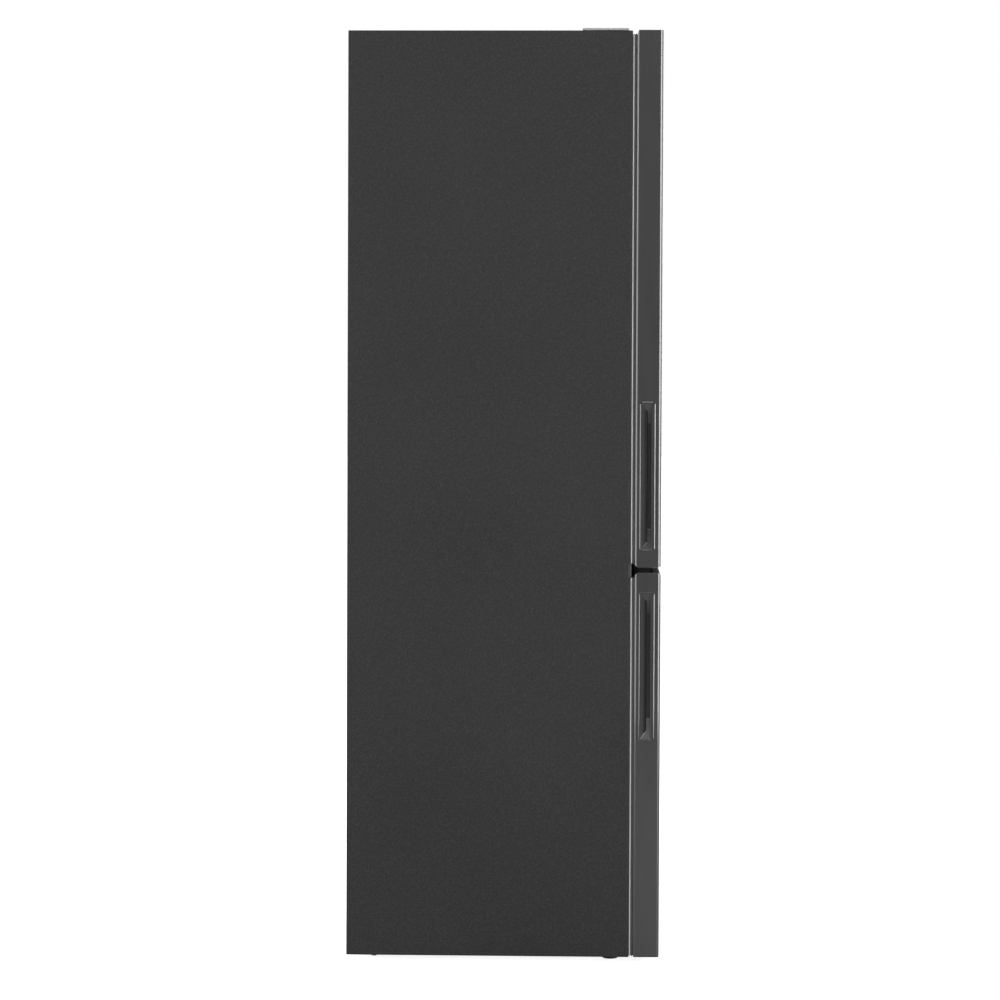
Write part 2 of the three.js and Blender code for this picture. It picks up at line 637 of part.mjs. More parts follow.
function roundedPlan(halfX, y0, y1, r) {
  const shape = new THREE.Shape();
  shape.absarc(halfX - r, y1 - r, r, 0, Math.PI / 2);
  shape.absarc(r - halfX, y1 - r, r, Math.PI / 2, Math.PI);
  shape.absarc(r - halfX, y0 + r, r, Math.PI, 1.5 * Math.PI);
  shape.absarc(halfX - r, y0 + r, r, 1.5 * Math.PI, 2 * Math.PI);
  return shape;
}
add(cabinet, "ceiling_lamp", raise(roundedPlan(lamp.half, lamp.front, lamp.rear, lamp.corner),
  [fridgeCeiling - fit - lamp.depth, fridgeCeiling - fit], 3), clearPlastic);

const panel = { half: 90, front: cabinetFront + 25, rear: cabinetFront + 90, depth: 10, corner: 6 };
const key = { x: 35, y: cabinetFront + 57, halfX: 14, halfY: 8, height: 9, proud: 1 };
const panelBottom = fridgeCeiling - fit - panel.depth;

function controlPanelGeometry() {
  const plate = raise(roundedPlan(panel.half, panel.front, panel.rear, panel.corner),
    [panelBottom, fridgeCeiling - fit], 3);
  return cut(plate, both(key.x).map((x) => block(about(x, key.halfX + fit), about(key.y, key.halfY + fit),
    [panelBottom - past, fridgeCeiling])));
}
add(cabinet, "control_panel", controlPanelGeometry(), greyPlastic);
both(key.x).forEach((x, i) => add(cabinet, "control_button_" + (i + 1),
  block(both(key.halfX), both(key.halfY), [0, key.height]), whitePlastic,
  [x, key.y, panelBottom - key.proud]));

// A glass shelf with a front trim and a lip at the back; its place is the glass's underside.
const shelfStop = 6;
const stopHeight = 12;
const trimBelow = 3;

function shelfGeometry(half, front, rear, below, lip) {
  const plate = block(both(half), [front + 1, rear], [0, glass]);
  const trim = block(both(half), [front, front + trimDepth], [-below, trimHeight - below]);
  const stop = block(both(half), [rear - shelfStop, rear], [0, glass + lip]);
  return join([plate, trim, stop]);
}
const fridgeShelf = shelfGeometry(fridgeHalf - shelfPlay, shelfFront, shelfRear, trimBelow, stopHeight);
shelfHeights.forEach((z, i) => add(cabinet, "glass_shelf_" + (i + 1), fridgeShelf, shelfGlass, [0, 0, z]));
add(cabinet, "crisper_cover", fridgeShelf, shelfGlass, [0, 0, crisperCoverHeight]);

// An open drawer with a thicker front, pulled by the front's upper edge.
function drawerGeometry(half, depth, height) {
  const inside = block(both(half - drawerWall), [drawerFrontWall, depth - drawerWall],
    [drawerWall, height + past]);
  return cut(block(both(half), [0, depth], [0, height]), [inside]);
}
const crisperDepth = shelfRear - crisperToRear - shelfFront;
add(cabinet, "crisper_drawer", drawerGeometry(fridgeHalf - crisperPlay, crisperDepth,
  crisperRoom - crisperHeadroom), clearPlastic, [0, shelfFront, fridgeFloor + fit]);

// ---------------------------------------------------------------- inside the freezer
const freezerShelf = shelfGeometry(freezerHalf - shelfPlay, freezerShelfFront, freezerShelfRear,
  trimHeight - glass, 0);
const drawerFloors = [freezerFloor, ...freezerShelfHeights.map((z) => z + glass)];
const drawerCeilings = [...freezerShelfHeights.map((z) => z - fit - ledgeHeight), freezerCeiling];
freezerShelfHeights.forEach((z, i) =>
  add(cabinet, "freezer_glass_" + (i + 1), freezerShelf, shelfGlass, [0, 0, z]));
["bottom", "middle", "top"].forEach((name, i) => {
  const depth = i === 0 ? lowDrawerDepth : freezerDrawerDepth;
  const height = drawerCeilings[i] - drawerFloors[i] - drawerHeadroom;
  const drawer = drawerGeometry(freezerHalf - freezerDrawerPlay, depth, height);
  add(cabinet, "freezer_drawer_" + name, drawer, clearPlastic,
    [0, freezerDrawerFront, drawerFloors[i] + fit]);
});

// ---------------------------------------------------------------- hinges on the +X side
const plateHalf = 18;
const plateShift = 4; // plate's middle in from the pin
const plateNose = 8; // plate in front of the pin
const topPlate = { rise: 1.4, thickness: 2.5, padSetback: 10, rear: cabinetFront + 90 };
const bottomPlateDepth = 75;
const coverTop = { height: 5, behindFront: 5, depth: 104, skin: 0.8 };
const plateX = about(pinX - plateShift, plateHalf);
const plateFront = pinY - plateNose;

function topHingeGeometry() {
  const z = [cabinetTop + topPlate.rise, cabinetTop + topPlate.rise + topPlate.thickness];
  const pad = block(plateX, [cabinetFront + topPlate.padSetback, topPlate.rear], [cabinetTop + fit, z[1]]);
  const pin = upright(pinRadius, [fridgeDoorTop - pinLength, z[1]], pinX, pinY);
  return join([block(plateX, [plateFront, topPlate.rear], z), pad, pin]);
}
add(cabinet, "top_hinge", topHingeGeometry(), zincSteel);

// The low cover across the whole top hides the hinge plate and leaves its arm free.
function topHingeCoverGeometry() {
  const y = [cabinetFront + coverTop.behindFront, cabinetFront + coverTop.behindFront + coverTop.depth];
  const z = [cabinetTop + fit, cabinetTop + coverTop.height];
  const pocket = block([plateX[0] - 1, plateX[1] + 1], [y[0] - past, topPlate.rear + 1],
    [z[0] - past, z[1] - coverTop.skin]);
  return cut(block(both(halfWidth - fit), y, z), [pocket]);
}
add(cabinet, "top_hinge_cover", topHingeCoverGeometry(), greyPlastic);

const middlePlate = { height: 10, thickness: 3 };
function middleHingeGeometry() {
  const railFace = cabinetFront - railProud - fit;
  const seat = block(plateX, [railFace - middlePlate.thickness, railFace],
    about(gapMiddle, middlePlate.height / 2));
  const tongue = block(plateX, [plateFront, railFace - 1], about(gapMiddle, hingePlate / 2));
  const pin = upright(pinRadius, [freezerDoorTop - pinLength, fridgeDoorBottom + pinLength], pinX, pinY);
  return join([seat, tongue, pin]);
}
add(cabinet, "middle_hinge", middleHingeGeometry(), zincSteel);

function bottomHingeGeometry() {
  const z = [floorGap - fit - hingePlate, floorGap - fit];
  const plate = block(plateX, [plateFront, cabinetFront + bottomPlateDepth], z);
  return join([plate, upright(pinRadius, [z[0], floorGap + pinLength], pinX, pinY)]);
}
add(cabinet, "bottom_hinge", bottomHingeGeometry(), zincSteel);

// ---------------------------------------------------------------- doors

// A door's plan, drawn in by an inset, from the front with its bent corners to a given back.
function leafPlan(inset, back) {
  const half = halfWidth - inset;
  const front = doorFront + inset;
  const r = doorCorner - inset;
  const shape = new THREE.Shape();
  shape.moveTo(-half, back);
  shape.lineTo(-half, front + r);
  shape.absarc(r - half, front + r, r, Math.PI, 1.5 * Math.PI);
  shape.absarc(half - r, front + r, r, 1.5 * Math.PI, 2 * Math.PI);
  shape.lineTo(half, back);
  return shape;
}

const gripFront = doorFront + gripBehindFront;
const gripRear = gripFront + gripWidth;
const gripRamp = { length: 12.5, drop: 11 }; // sloping floor from the rear rim to the slot
const gripLip = 4; // the face's wall in front of the slot
const gripUndercut = 6; // hollow on behind that wall
const gripBack = 3;

// The space that a grip's body takes in the door, grown by a clearance.
function gripBody(bottom, grow) {
  return block([-halfWidth - (grow ? past : 0), gripDepth - halfWidth + grow],
    [gripFront - grow, gripRear + grow], [bottom - grow, bottom + gripHeight + grow]);
}

// The grip's hollow: a floor that slopes from the rear rim to the slot, which runs on behind the lip.
function gripGeometry(bottom) {
  const face = -halfWidth;
  const rampStart = gripRear - gripRim;
  const slotRear = rampStart - gripRamp.length;
  const slotFront = slotRear - gripSlot;
  const slotEnd = face + gripDepth - gripBack;
  const plan = new THREE.Shape([
    [face - past, rampStart], [face, rampStart], [face + gripRamp.drop, slotRear], [slotEnd, slotRear],
    [slotEnd, slotFront - gripUndercut], [face + gripLip, slotFront - gripUndercut],
    [face + gripLip, slotFront], [face - past, slotFront],
  ].map(([x, y]) => new THREE.Vector2(x, y)));
  const hollow = raise(plan, [bottom + gripRim, bottom + gripHeight - gripRim]);
  return cut(gripBody(bottom, 0), [hollow]);
}

function addDoor(group, name, [bottom, top], gripBottom, ridge, lugs) {
  const inner = [bottom + capHeight + fit, top - capHeight - fit];
  const grip = gripBody(gripBottom, fit);

  const sheet = raise(leafPlan(0, doorRear), [bottom, top]);
  const hollow = raise(leafPlan(steel, doorRear + past), [bottom - past, top + past]);
  add(group, name + "_skin", cut(sheet, [hollow, grip]), doorPaint);

  // end caps, each bored where a hinge pin enters
  const capPlan = leafPlan(steel + fit, doorRear);
  const pinBore = (z) => upright(pinRadius + fit, z, pinX, pinY);
  const boreDepth = pinLength + 1;
  const topCap = cut(raise(capPlan, [top - capHeight, top]), [pinBore([top - boreDepth, top + past])]);
  const bottomCap = cut(raise(capPlan, [bottom, bottom + capHeight]),
    [pinBore([bottom - past, bottom + boreDepth])]);
  add(group, name + "_top_cap", topCap, blackPlastic);
  add(group, name + "_bottom_cap", bottomCap, blackPlastic);

  // liner: a flat rim and a raised ridge that fits inside the cabinet's liner
  const crest = doorRear + ridge.depth;
  const rim = block(both(panelInner - fit), [doorRear - linerWall, doorRear], inner);
  const dyke = frameRing(ridge.half, [doorRear - linerWall, crest], ridge.z, ridge.width);
  const coreZ = [ridge.z[0] + linerWall, ridge.z[1] - linerWall];
  const core = frameRing(ridge.half - linerWall, [doorRear - linerWall - past, crest - linerWall], coreZ,
    ridge.width - 2 * linerWall);
  add(group, name + "_liner", cut(join([rim, dyke, ...lugs]), [core]), whitePlastic);

  // foam between skin and liner, which also fills the ridge
  const slab = raise(leafPlan(steel + fit, doorRear - linerWall - fit), inner);
  const foamY = [doorRear - linerWall - past, crest - linerWall - fit];
  const ridgeFoam = frameRing(ridge.half - linerWall - fit, foamY, [coreZ[0] + fit, coreZ[1] - fit],
    ridge.width - 2 * linerWall - 2 * fit);
  add(group, name + "_foam", cut(join([slab, ridgeFoam]), [grip]), foamYellow);

  add(group, name + "_grip", gripGeometry(gripBottom), doorPaint);

  // seal: a wide magnet bulb towards the cabinet on a narrower neck
  const sealZ = [bottom + sealEndInset, top - sealEndInset];
  const bulbRear = cabinetFront - sealClearance;
  const bulb = frameRing(halfWidth - sealSideInset, [bulbRear - sealBulb, bulbRear], sealZ, sealWidth);
  const neckInset = (sealWidth - sealNeck) / 2;
  const neck = frameRing(halfWidth - sealSideInset - neckInset, [doorRear + fit, bulbRear - past],
    [sealZ[0] + neckInset, sealZ[1] - neckInset], sealNeck);
  add(group, name + "_gasket", join([bulb, neck]), sealRubber);
}

const ridgePlay = 12; // ridge to compartment wall, so that its far corner clears when it turns
const ridgeEndPlay = 10;
const fridgeRidge = { half: fridgeHalf - ridgePlay, width: 30, depth: 32,
  z: [fridgeFloor + ridgeEndPlay, fridgeCeiling - ridgeEndPlay] };
const freezerRidge = { half: freezerHalf - ridgePlay, width: 30, depth: 11,
  z: [freezerFloor + ridgeEndPlay, freezerCeiling - ridgeEndPlay] };

// Door baskets hang by an ear at each end on a lug of the door liner.
const ridgeInner = fridgeRidge.half - fridgeRidge.width;
const lug = { reach: 6, low: 28, height: 12, front: 3, length: 20 };
const basketEar = { height: 14, play: 1 };
const basketHalf = ridgeInner - lug.reach - basketEar.play;
const basketRear = doorRear + 0.5;
const baskets = basketRises.map(([name, rise, height]) => [name, fridgeDoorBottom + rise, height]);

const lugs = baskets.flatMap(([, z]) => [-1, 1].map((side) =>
  block(between(side, ridgeInner - lug.reach, ridgeInner + linerWall / 2),
    [doorRear + lug.front, doorRear + lug.front + lug.length], [z + lug.low, z + lug.low + lug.height])));

function basketGeometry(height) {
  const inside = block(both(basketHalf - basketWall), [basketWall, basketDepth - basketWall],
    [basketWall, height + past]);
  const tub = cut(block(both(basketHalf), [0, basketDepth], [0, height]), [inside]);
  const earZ = lug.low + lug.height + fit;
  const ears = [-1, 1].map((side) =>
    block(between(side, basketHalf - basketWall, ridgeInner - basketEar.play),
      [lug.front + 1, lug.front + lug.length - 2], [earZ, earZ + basketEar.height]));
  return join([tub, ...ears]);
}

addDoor(fridgeDoor, "fridge_door", [fridgeDoorBottom, fridgeDoorTop], fridgeDoorBottom + fridgeGripRise,
  fridgeRidge, lugs);
baskets.forEach(([name, z, height]) =>
  add(fridgeDoor, "door_basket_" + name, basketGeometry(height), clearPlastic, [0, basketRear, z]));
addDoor(freezerDoor, "freezer_door", [floorGap, freezerDoorTop],
  freezerDoorTop - freezerGripDrop - gripHeight, freezerRidge, []);

export default appliance;
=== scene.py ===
# A free-standing refrigerator, fridge above and freezer below, finished over its frame. It stands on
# the floor z = 0, its doors face -Y and hang at +X, and every size is in metres.
import math
import bmesh
import bpy
from mathutils import Matrix, Vector


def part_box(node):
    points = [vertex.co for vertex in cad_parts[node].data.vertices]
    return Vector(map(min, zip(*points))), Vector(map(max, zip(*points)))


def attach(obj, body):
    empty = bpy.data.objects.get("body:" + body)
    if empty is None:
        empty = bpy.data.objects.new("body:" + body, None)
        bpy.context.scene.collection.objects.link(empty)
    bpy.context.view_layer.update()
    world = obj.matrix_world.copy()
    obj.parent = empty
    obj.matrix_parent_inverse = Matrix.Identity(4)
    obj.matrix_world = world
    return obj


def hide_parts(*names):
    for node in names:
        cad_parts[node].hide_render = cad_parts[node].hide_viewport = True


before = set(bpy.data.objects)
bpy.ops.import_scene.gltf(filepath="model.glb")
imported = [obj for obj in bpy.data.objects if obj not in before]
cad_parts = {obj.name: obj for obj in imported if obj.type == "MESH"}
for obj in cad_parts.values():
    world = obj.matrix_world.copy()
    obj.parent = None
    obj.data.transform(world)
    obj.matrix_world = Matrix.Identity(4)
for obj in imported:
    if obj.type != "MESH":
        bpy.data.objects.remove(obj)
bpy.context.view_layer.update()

scene = bpy.context.scene
mm = 0.001

# ---- the studio
# The camera stands off the handle side, a little over the middle. The floor is pale, the surround
# white, and soft lights stand all round. Three more panels only draw glints along the edges.
camera_place = (-7.2975, -0.2102, 1.2328)
camera_turn, camera_tilt, camera_roll = 1.791, -1.830, 0.223
lens_mm = 116.17


def put(name, data):
    """An object of its own in the scene."""
    made = bpy.data.objects.new(name, data)
    scene.collection.objects.link(made)
    return made


def mesh_of(bm, name="part"):
    """The mesh data of an edit mesh, which is used up."""
    mesh = bpy.data.meshes.new(name)
    bm.to_mesh(mesh)
    bm.free()
    return mesh


eye = bpy.data.cameras.new("camera")
eye.lens = lens_mm
eye.clip_end = 200
camera = put("camera", eye)
camera.matrix_world = (Matrix.Translation(camera_place)
                       @ Matrix.Rotation(math.radians(camera_turn - 90), 4, "Z")
                       @ Matrix.Rotation(math.radians(camera_tilt + 90), 4, "X")
                       @ Matrix.Rotation(math.radians(camera_roll), 4, "Z"))
scene.camera = camera
scene.view_settings.view_transform = "Standard"


class Signal:
    """A shader socket that can stand in a sum: each operator adds its Math node."""

    def __init__(self, finish, socket):
        self.finish = finish
        self.socket = socket

    def math(self, operation, *values):
        return self.finish.node("ShaderNodeMath", {"operation": operation}, dict(enumerate(values)))

    def __add__(self, other):
        return self.math("ADD", self, other)

    def __mul__(self, other):
        return self.math("MULTIPLY", self, other)

    __radd__ = __add__


class Finish:
    """A node material on one Principled shader."""

    def __init__(self, name, **constants):
        self.material = bpy.data.materials.new(name)
        self.material.use_nodes = True
        self.tree = self.material.node_tree
        self.shader = self.tree.nodes["Principled BSDF"]
        self.set(**constants)

    def set(self, **values):
        """Sets or links the shader's own sockets, with _ for the blank in a socket's name."""
        self.feed(self.shader, {name.replace("_", " "): value for name, value in values.items()})

    def feed(self, node, values):
        for socket, value in values.items():
            if isinstance(value, Signal):
                self.tree.links.new(value.socket, node.inputs[socket])
            else:
                node.inputs[socket].default_value = value

    def node(self, kind, settings={}, values={}, out=0):
        made = self.tree.nodes.new(kind)
        for name, value in settings.items():
            setattr(made, name, value)
        self.feed(made, values)
        return Signal(self, made.outputs[out])

    def place(self):
        return self.node("ShaderNodeTexCoord", out="Object")

    def stretched(self, factors):
        return self.node("ShaderNodeMapping", {}, {"Vector": self.place(), "Scale": factors})

    def noise(self, size, detail=2.0, where=None):
        """Cloudy noise whose features are about as wide as size."""
        return self.node("ShaderNodeTexNoise", {}, {"Vector": where or self.place(), "Scale": 1 / size,
                                                    "Detail": detail})

    def cells(self, size, feature="F1"):
        """Distance to the nearest of scattered points about size apart."""
        return self.node("ShaderNodeTexVoronoi", {"feature": feature},
                         {"Vector": self.place(), "Scale": 1 / size})

    def blend(self, factor, first, second):
        """A colour between two, by a factor from 0 to 1."""
        return self.node("ShaderNodeMix", {"data_type": "RGBA"}, {0: factor, 6: first, 7: second}, out=2)

    def between(self, signal, start, end):
        """The signal's run from start to end, spread over 0 to 1 and kept inside them."""
        return self.node("ShaderNodeMapRange", {}, {"Value": signal, "From Min": start, "From Max": end})

    def coat(self, mottle, first, second, roughness, **others):
        """A colour mottled between two, a roughness, and any other sockets."""
        self.set(Base_Color=self.blend(mottle, first, second), Roughness=roughness, **others)

    def relief(self, height, depth):
        """Bumps of a depth in metres, as the shader's normal."""
        self.set(Normal=self.node("ShaderNodeBump", {}, {"Height": height, "Distance": depth}))


def grey(level, cool=0.0):
    """A neutral colour, a little bluer if cool is above 0."""
    return (level * (1 - cool), level, level * (1 + cool), 1)


floor_paint = Finish("studio_floor", Specular_IOR_Level=0.1, Emission_Strength=1)
seen_directly = floor_paint.node("ShaderNodeLightPath")
floor_paint.coat(floor_paint.noise(1.5), grey(0.82), grey(0.86), 0.9,
                 Emission_Color=floor_paint.blend(seen_directly, grey(0.1), grey(0.85)))
floor_shape = bmesh.new()
bmesh.ops.create_grid(floor_shape, x_segments=1, y_segments=1, size=60)
floor = put("studio_floor", mesh_of(floor_shape, "studio_floor"))
floor.data.materials.append(floor_paint.material)

# the surround is white to the eye, and dimmer as a light
surround = bpy.data.worlds.new("surround")
surround.use_nodes = True
scene.world = surround
sky = surround.node_tree
glow = sky.nodes["Background"]
seen = sky.nodes.new("ShaderNodeLightPath")
strength = sky.nodes.new("ShaderNodeMapRange")
strength.inputs["To Min"].default_value = 0.45
glow.inputs["Color"].default_value = grey(1.0)
sky.links.new(seen.outputs["Is Camera Ray"], strength.inputs["Value"])
sky.links.new(strength.outputs[0], glow.inputs["Strength"])


def soft_light(name, place, width, height, watts, glints_only=False):
    """A rectangular lamp that faces the appliance's middle. It may light no more than the glints."""
    lamp = bpy.data.lights.new(name, "AREA")
    lamp.shape = "RECTANGLE"
    lamp.size = width
    lamp.size_y = height
    lamp.energy = watts
    stand = put(name, lamp)
    stand.location = place
    stand.rotation_euler = (Vector((0, 0, 1)) - Vector(place)).to_track_quat("-Z", "Y").to_euler()
    stand.visible_diffuse = not glints_only


for side, front_watts in ((-1, 85), (1, 60)):
    soft_light("strip_front", (3.7 * side, -3.5, 1.5), 0.5, 3.0, front_watts)
    soft_light("strip_back", (3.7 * side, 3.5, 1.5), 0.5, 3.0, 60)
soft_light("edge_glint_front", (-4.6, -2.95, 1.2), 1.3, 4.4, 330, glints_only=True)
soft_light("edge_glint_back", (-4.6, 2.4, 1.2), 1.3, 4.4, 150, glints_only=True)
soft_light("edge_glint_top", (-4.2, -0.3, 4.2), 1.6, 1.3, 60, glints_only=True)
soft_light("front_light", (0, -5.0, 1.8), 2.4, 2.6, 80)
soft_light("back_light", (0, 5.0, 1.8), 2.4, 2.6, 70)
soft_light("overhead_light", (0, 0, 5.2), 3.0, 3.0, 110)

# ---- cabinet sheet
# One coil-coated steel sheet, bent over both sides and the top, its front edge turned in as a
# flange and notched for the cross rail. The coating is dark grey with a pebbled grain.
sheet = 1 * mm
flange = 30 * mm
fit = 0.3 * mm
rail_bar_depth = 7 * mm
rail_strip_reach = 17 * mm


def near(a, b):
    return abs(a - b) < 0.01 * mm


def brick(corner, opposite):
    """A block between two corners."""
    bm = bmesh.new()
    size = [abs(b - a) for a, b in zip(corner, opposite)]
    middle = [(a + b) / 2 for a, b in zip(corner, opposite)]
    bmesh.ops.create_cube(bm, size=1, matrix=Matrix.Translation(middle) @ Matrix.Diagonal((*size, 1)))
    return bm


def round_off(bm, radius, steps=3, where=None, bend=0.0):
    """Rounds the edges whose middle passes a test and whose faces meet at no less than a bend."""
    edges = [edge for edge in bm.edges if edge.calc_face_angle(0) >= bend
             and (where is None or where((edge.verts[0].co + edge.verts[1].co) / 2))]
    bmesh.ops.bevel(bm, geom=edges, offset=radius, segments=steps, profile=0.5, affect="EDGES",
                    material=-1, clamp_overlap=True)


def remove_faces(bm, test):
    bmesh.ops.delete(bm, geom=[face for face in bm.faces if test(face)], context="FACES")


def face_out(bm):
    bmesh.ops.recalc_face_normals(bm, faces=bm.faces)


def thicken(bm, thickness):
    """Gives an open surface the thickness of a sheet."""
    bmesh.ops.solidify(bm, geom=bm.faces[:], thickness=thickness)


def gather(*parts):
    """Several meshes as one."""
    whole = bmesh.new()
    for part in parts:
        lump = mesh_of(part)
        whole.from_mesh(lump)
        bpy.data.meshes.remove(lump)
    return whole


def carve(bm, *tools, how="DIFFERENCE"):
    """The mesh with the tools' shapes cut out of it, or joined to it."""
    blank, tool = (put("part", mesh_of(part)) for part in (bm, gather(*tools)))
    cut = blank.modifiers.new("cut", "BOOLEAN")
    cut.operation = how
    cut.solver = "EXACT"
    cut.object = tool
    bpy.context.view_layer.update()
    done = bmesh.new()
    done.from_object(blank, bpy.context.evaluated_depsgraph_get())
    for used in (blank, tool):
        bpy.data.meshes.remove(used.data)
    return done


def set_piece(name, bm, body, finish, stands_for):
    """Makes the mesh a smooth-shaded piece that rides on a body and stands for a CAD node."""
    bmesh.ops.remove_doubles(bm, verts=bm.verts, dist=0.005 * mm)
    face_out(bm)
    mesh = mesh_of(bm, name)
    mesh.shade_smooth()
    mesh.set_sharp_from_angle(angle=math.radians(35))
    mesh.materials.append(finish.material)
    piece = put(name, mesh)
    piece.modifiers.new("even_normals", "WEIGHTED_NORMAL").keep_sharp = True
    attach(piece, body)
    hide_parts(stands_for)


side_paint = Finish("side_paint", Specular_IOR_Level=0.12)
pebbles = side_paint.cells(3.8 * mm, "SMOOTH_F1")
fine_grain = side_paint.noise(1.3 * mm, 3)
specks = side_paint.between(side_paint.noise(2.2 * mm, 1), 0.62, 0.72)
tone = side_paint.between(side_paint.noise(0.35), 0.3, 0.7)
crests = side_paint.between(pebbles, 0.15, 0.75)
side_paint.coat(specks * 0.5 + crests * 0.35 + tone * 0.1, grey(0.014), grey(0.045),
                0.42 + fine_grain * 0.16)
side_paint.relief(pebbles * 0.8 + fine_grain * 0.3, 0.16 * mm)

wrap_low, wrap_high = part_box("cabinet_wrap")
rail_low, rail_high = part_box("mullion_rail")
wrap = brick(wrap_low, wrap_high)
round_off(wrap, 3 * mm, 4, lambda m: near(m.z, wrap_high.z) and near(abs(m.x), wrap_high.x))
round_off(wrap, 2 * mm, 4, lambda m: near(m.y, wrap_low.y) and m.z > wrap_low.z + mm)
wrap.normal_update()
remove_faces(wrap, lambda face: face.normal.y > 0.9 or face.normal.z < -0.9)
thicken(wrap, sheet)
opening_half = wrap_high.x - flange
opening_top = wrap_high.z - flange
opening = brick((-opening_half, wrap_low.y - mm, wrap_low.z - mm),
                (opening_half, wrap_low.y + 2 * sheet, opening_top))
round_off(opening, 5 * mm, 3, lambda m: near(m.z, opening_top) and near(abs(m.x), opening_half))
bar_low = Vector((rail_low.x, rail_low.y, rail_low.z + rail_strip_reach))
bar_high = Vector((rail_high.x, rail_low.y + rail_bar_depth, rail_high.z - rail_strip_reach))
notch = brick((2 * wrap_low.x, wrap_low.y - 2 * mm, bar_low.z - fit),
              (2 * wrap_high.x, bar_high.y + fit, bar_high.z + fit))
wrap = carve(carve(wrap, opening), notch)
set_piece("cabinet_sheet", wrap, "cabinet", side_paint, "cabinet_wrap")

# ---- cross rail
# The black painted steel rail across the front, between the doors. Its bar closes the notches in
# the sheet, and a thin strip above and below it holds the magnets of both seals.
black_paint = Finish("black_steel_paint", Specular_IOR_Level=0.4)
peel = black_paint.noise(1.6 * mm, 2)
black_paint.coat(black_paint.noise(0.05), grey(0.010), grey(0.016), 0.38 + peel * 0.12)
black_paint.relief(peel, 0.03 * mm)

rail_strip = 2 * mm
bar = brick(bar_low, bar_high)
round_off(bar, 0.8 * mm, 2)
strip = brick((fit - opening_half, wrap_low.y, rail_low.z),
              (opening_half - fit, wrap_low.y + rail_strip, rail_high.z))
round_off(strip, 0.6 * mm, 2, lambda m: near(m.y, wrap_low.y))
set_piece("cross_rail", gather(bar, strip), "cabinet", black_paint, "mullion_rail")

# ---- hinge cover
# A low, pale grey moulded strip across the whole top, clipped over the top hinge. It is hollow over
# the hinge's plate and leaves the arm free to the front.
grey_moulding = Finish("grey_moulding", Specular_IOR_Level=0.45)
spark = grey_moulding.noise(0.9 * mm, 3)
grey_moulding.coat(grey_moulding.noise(0.06), grey(0.25), grey(0.29), 0.42 + spark * 0.14)
grey_moulding.relief(spark, 0.05 * mm)

cover_set_back = 3.6 * mm
cover_roof = 0.8 * mm
hinge_play = 1 * mm
strip_low, strip_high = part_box("top_hinge_cover")
hinge_low, hinge_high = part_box("top_hinge")
cover = brick((strip_low.x, strip_low.y + cover_set_back, strip_low.z), strip_high)
round_off(cover, 1.6 * mm, 4, lambda m: m.z > strip_low.z + mm)
pocket = brick((hinge_low.x - hinge_play, strip_low.y - mm, strip_low.z - mm),
               (hinge_high.x + hinge_play, hinge_high.y + hinge_play, strip_high.z - cover_roof))
set_piece("hinge_cover", carve(cover, pocket), "cabinet", grey_moulding,
          "top_hinge_cover")

# ---- door sheets
# Each door's outer sheet is smooth satin graphite steel. Its upright edges slope in a little, with a
# tight bend to the front, its ends are trimmed at the corners, and the grip's hole is pierced.
door_paint = Finish("door_paint", Metallic=0.1, Specular_IOR_Level=0.35, Coat_Roughness=0.08)
satin = door_paint.noise(0.8 * mm, 3)
drawn = door_paint.noise(0.02, 3, door_paint.stretched((1, 1, 0.12)))
door_paint.coat(drawn, grey(0.021), grey(0.028), 0.24 + satin * 0.06 + drawn * 0.04,
                Coat_Weight=0.35 + drawn * 0.1)
door_paint.relief(satin, 0.012 * mm)

doors = ("fridge_door", "freezer_door")
front_bend = 3 * mm
crest_bend = 0.5 * mm
front_slope = 5.4 * mm
rear_slope = 3.4 * mm
slope_angle = math.radians(16)
# in mm: how far each corner of a door's side is cut back, along its depth and along its height
end_trim = {("fridge_door", 1): ((4, 3), (5, 5)), ("fridge_door", -1): ((1.2, 1.5), (3, 7)),
            ("freezer_door", 1): ((1.2, 3), None), ("freezer_door", -1): ((3.5, 4.8), (5, 5))}
hem_rise, hem_run = 0.8 * mm, 0.32 * mm
grip_corner = 7 * mm
grip_overlap = 0.2 * mm


def moulding(layers, axis="z", closed=False, steps=4):
    """Rounded rectangles, each (low, high, corner, level), extruded one to the next along an axis."""
    order = {"x": (2, 0, 1), "y": (0, 2, 1), "z": (0, 1, 2)}[axis]
    bm = bmesh.new()
    label = bm.verts.layers.int.new("ray")

    def settle(vert, layer):
        low, high, corner, level = layer
        quarter, step = divmod(vert[label], steps + 1)
        turn = (quarter + step / steps) * math.pi / 2
        across = (high[0] - corner if quarter in (0, 3) else low[0] + corner) + corner * math.cos(turn)
        up = (high[1] - corner if quarter < 2 else low[1] + corner) + corner * math.sin(turn)
        vert.co = [(across, up, level)[k] for k in order]

    for number in range(4 * (steps + 1)):
        bm.verts.new()[label] = number
    for vert in bm.verts:
        settle(vert, layers[0])
    base = top = bm.faces.new(bm.verts[:])
    for layer in layers[1:] + (layers[:1] if closed else []):
        made = bmesh.ops.extrude_face_region(bm, geom=[top])["geom"]
        if closed or top is not base:
            bmesh.ops.delete(bm, geom=[top], context="FACES_ONLY")
        top = next(item for item in made if isinstance(item, bmesh.types.BMFace))
        for vert in top.verts:
            settle(vert, layer)
    if closed:
        bmesh.ops.delete(bm, geom=[top], context="FACES_ONLY")
        bmesh.ops.remove_doubles(bm, verts=bm.verts, dist=0.001 * mm)
    face_out(bm)
    return bm


def prism(low, high, corner, start, end, axis="z", steps=4):
    """A bar with a rounded rectangle's section, from one level to another along an axis."""
    return moulding([(low, high, corner, level) for level in (start, end)], axis, steps=steps)


def grown(low, high, by):
    """A rectangle's corners, moved out by a distance."""
    return (low[0] - by, low[1] - by), (high[0] + by, high[1] + by)


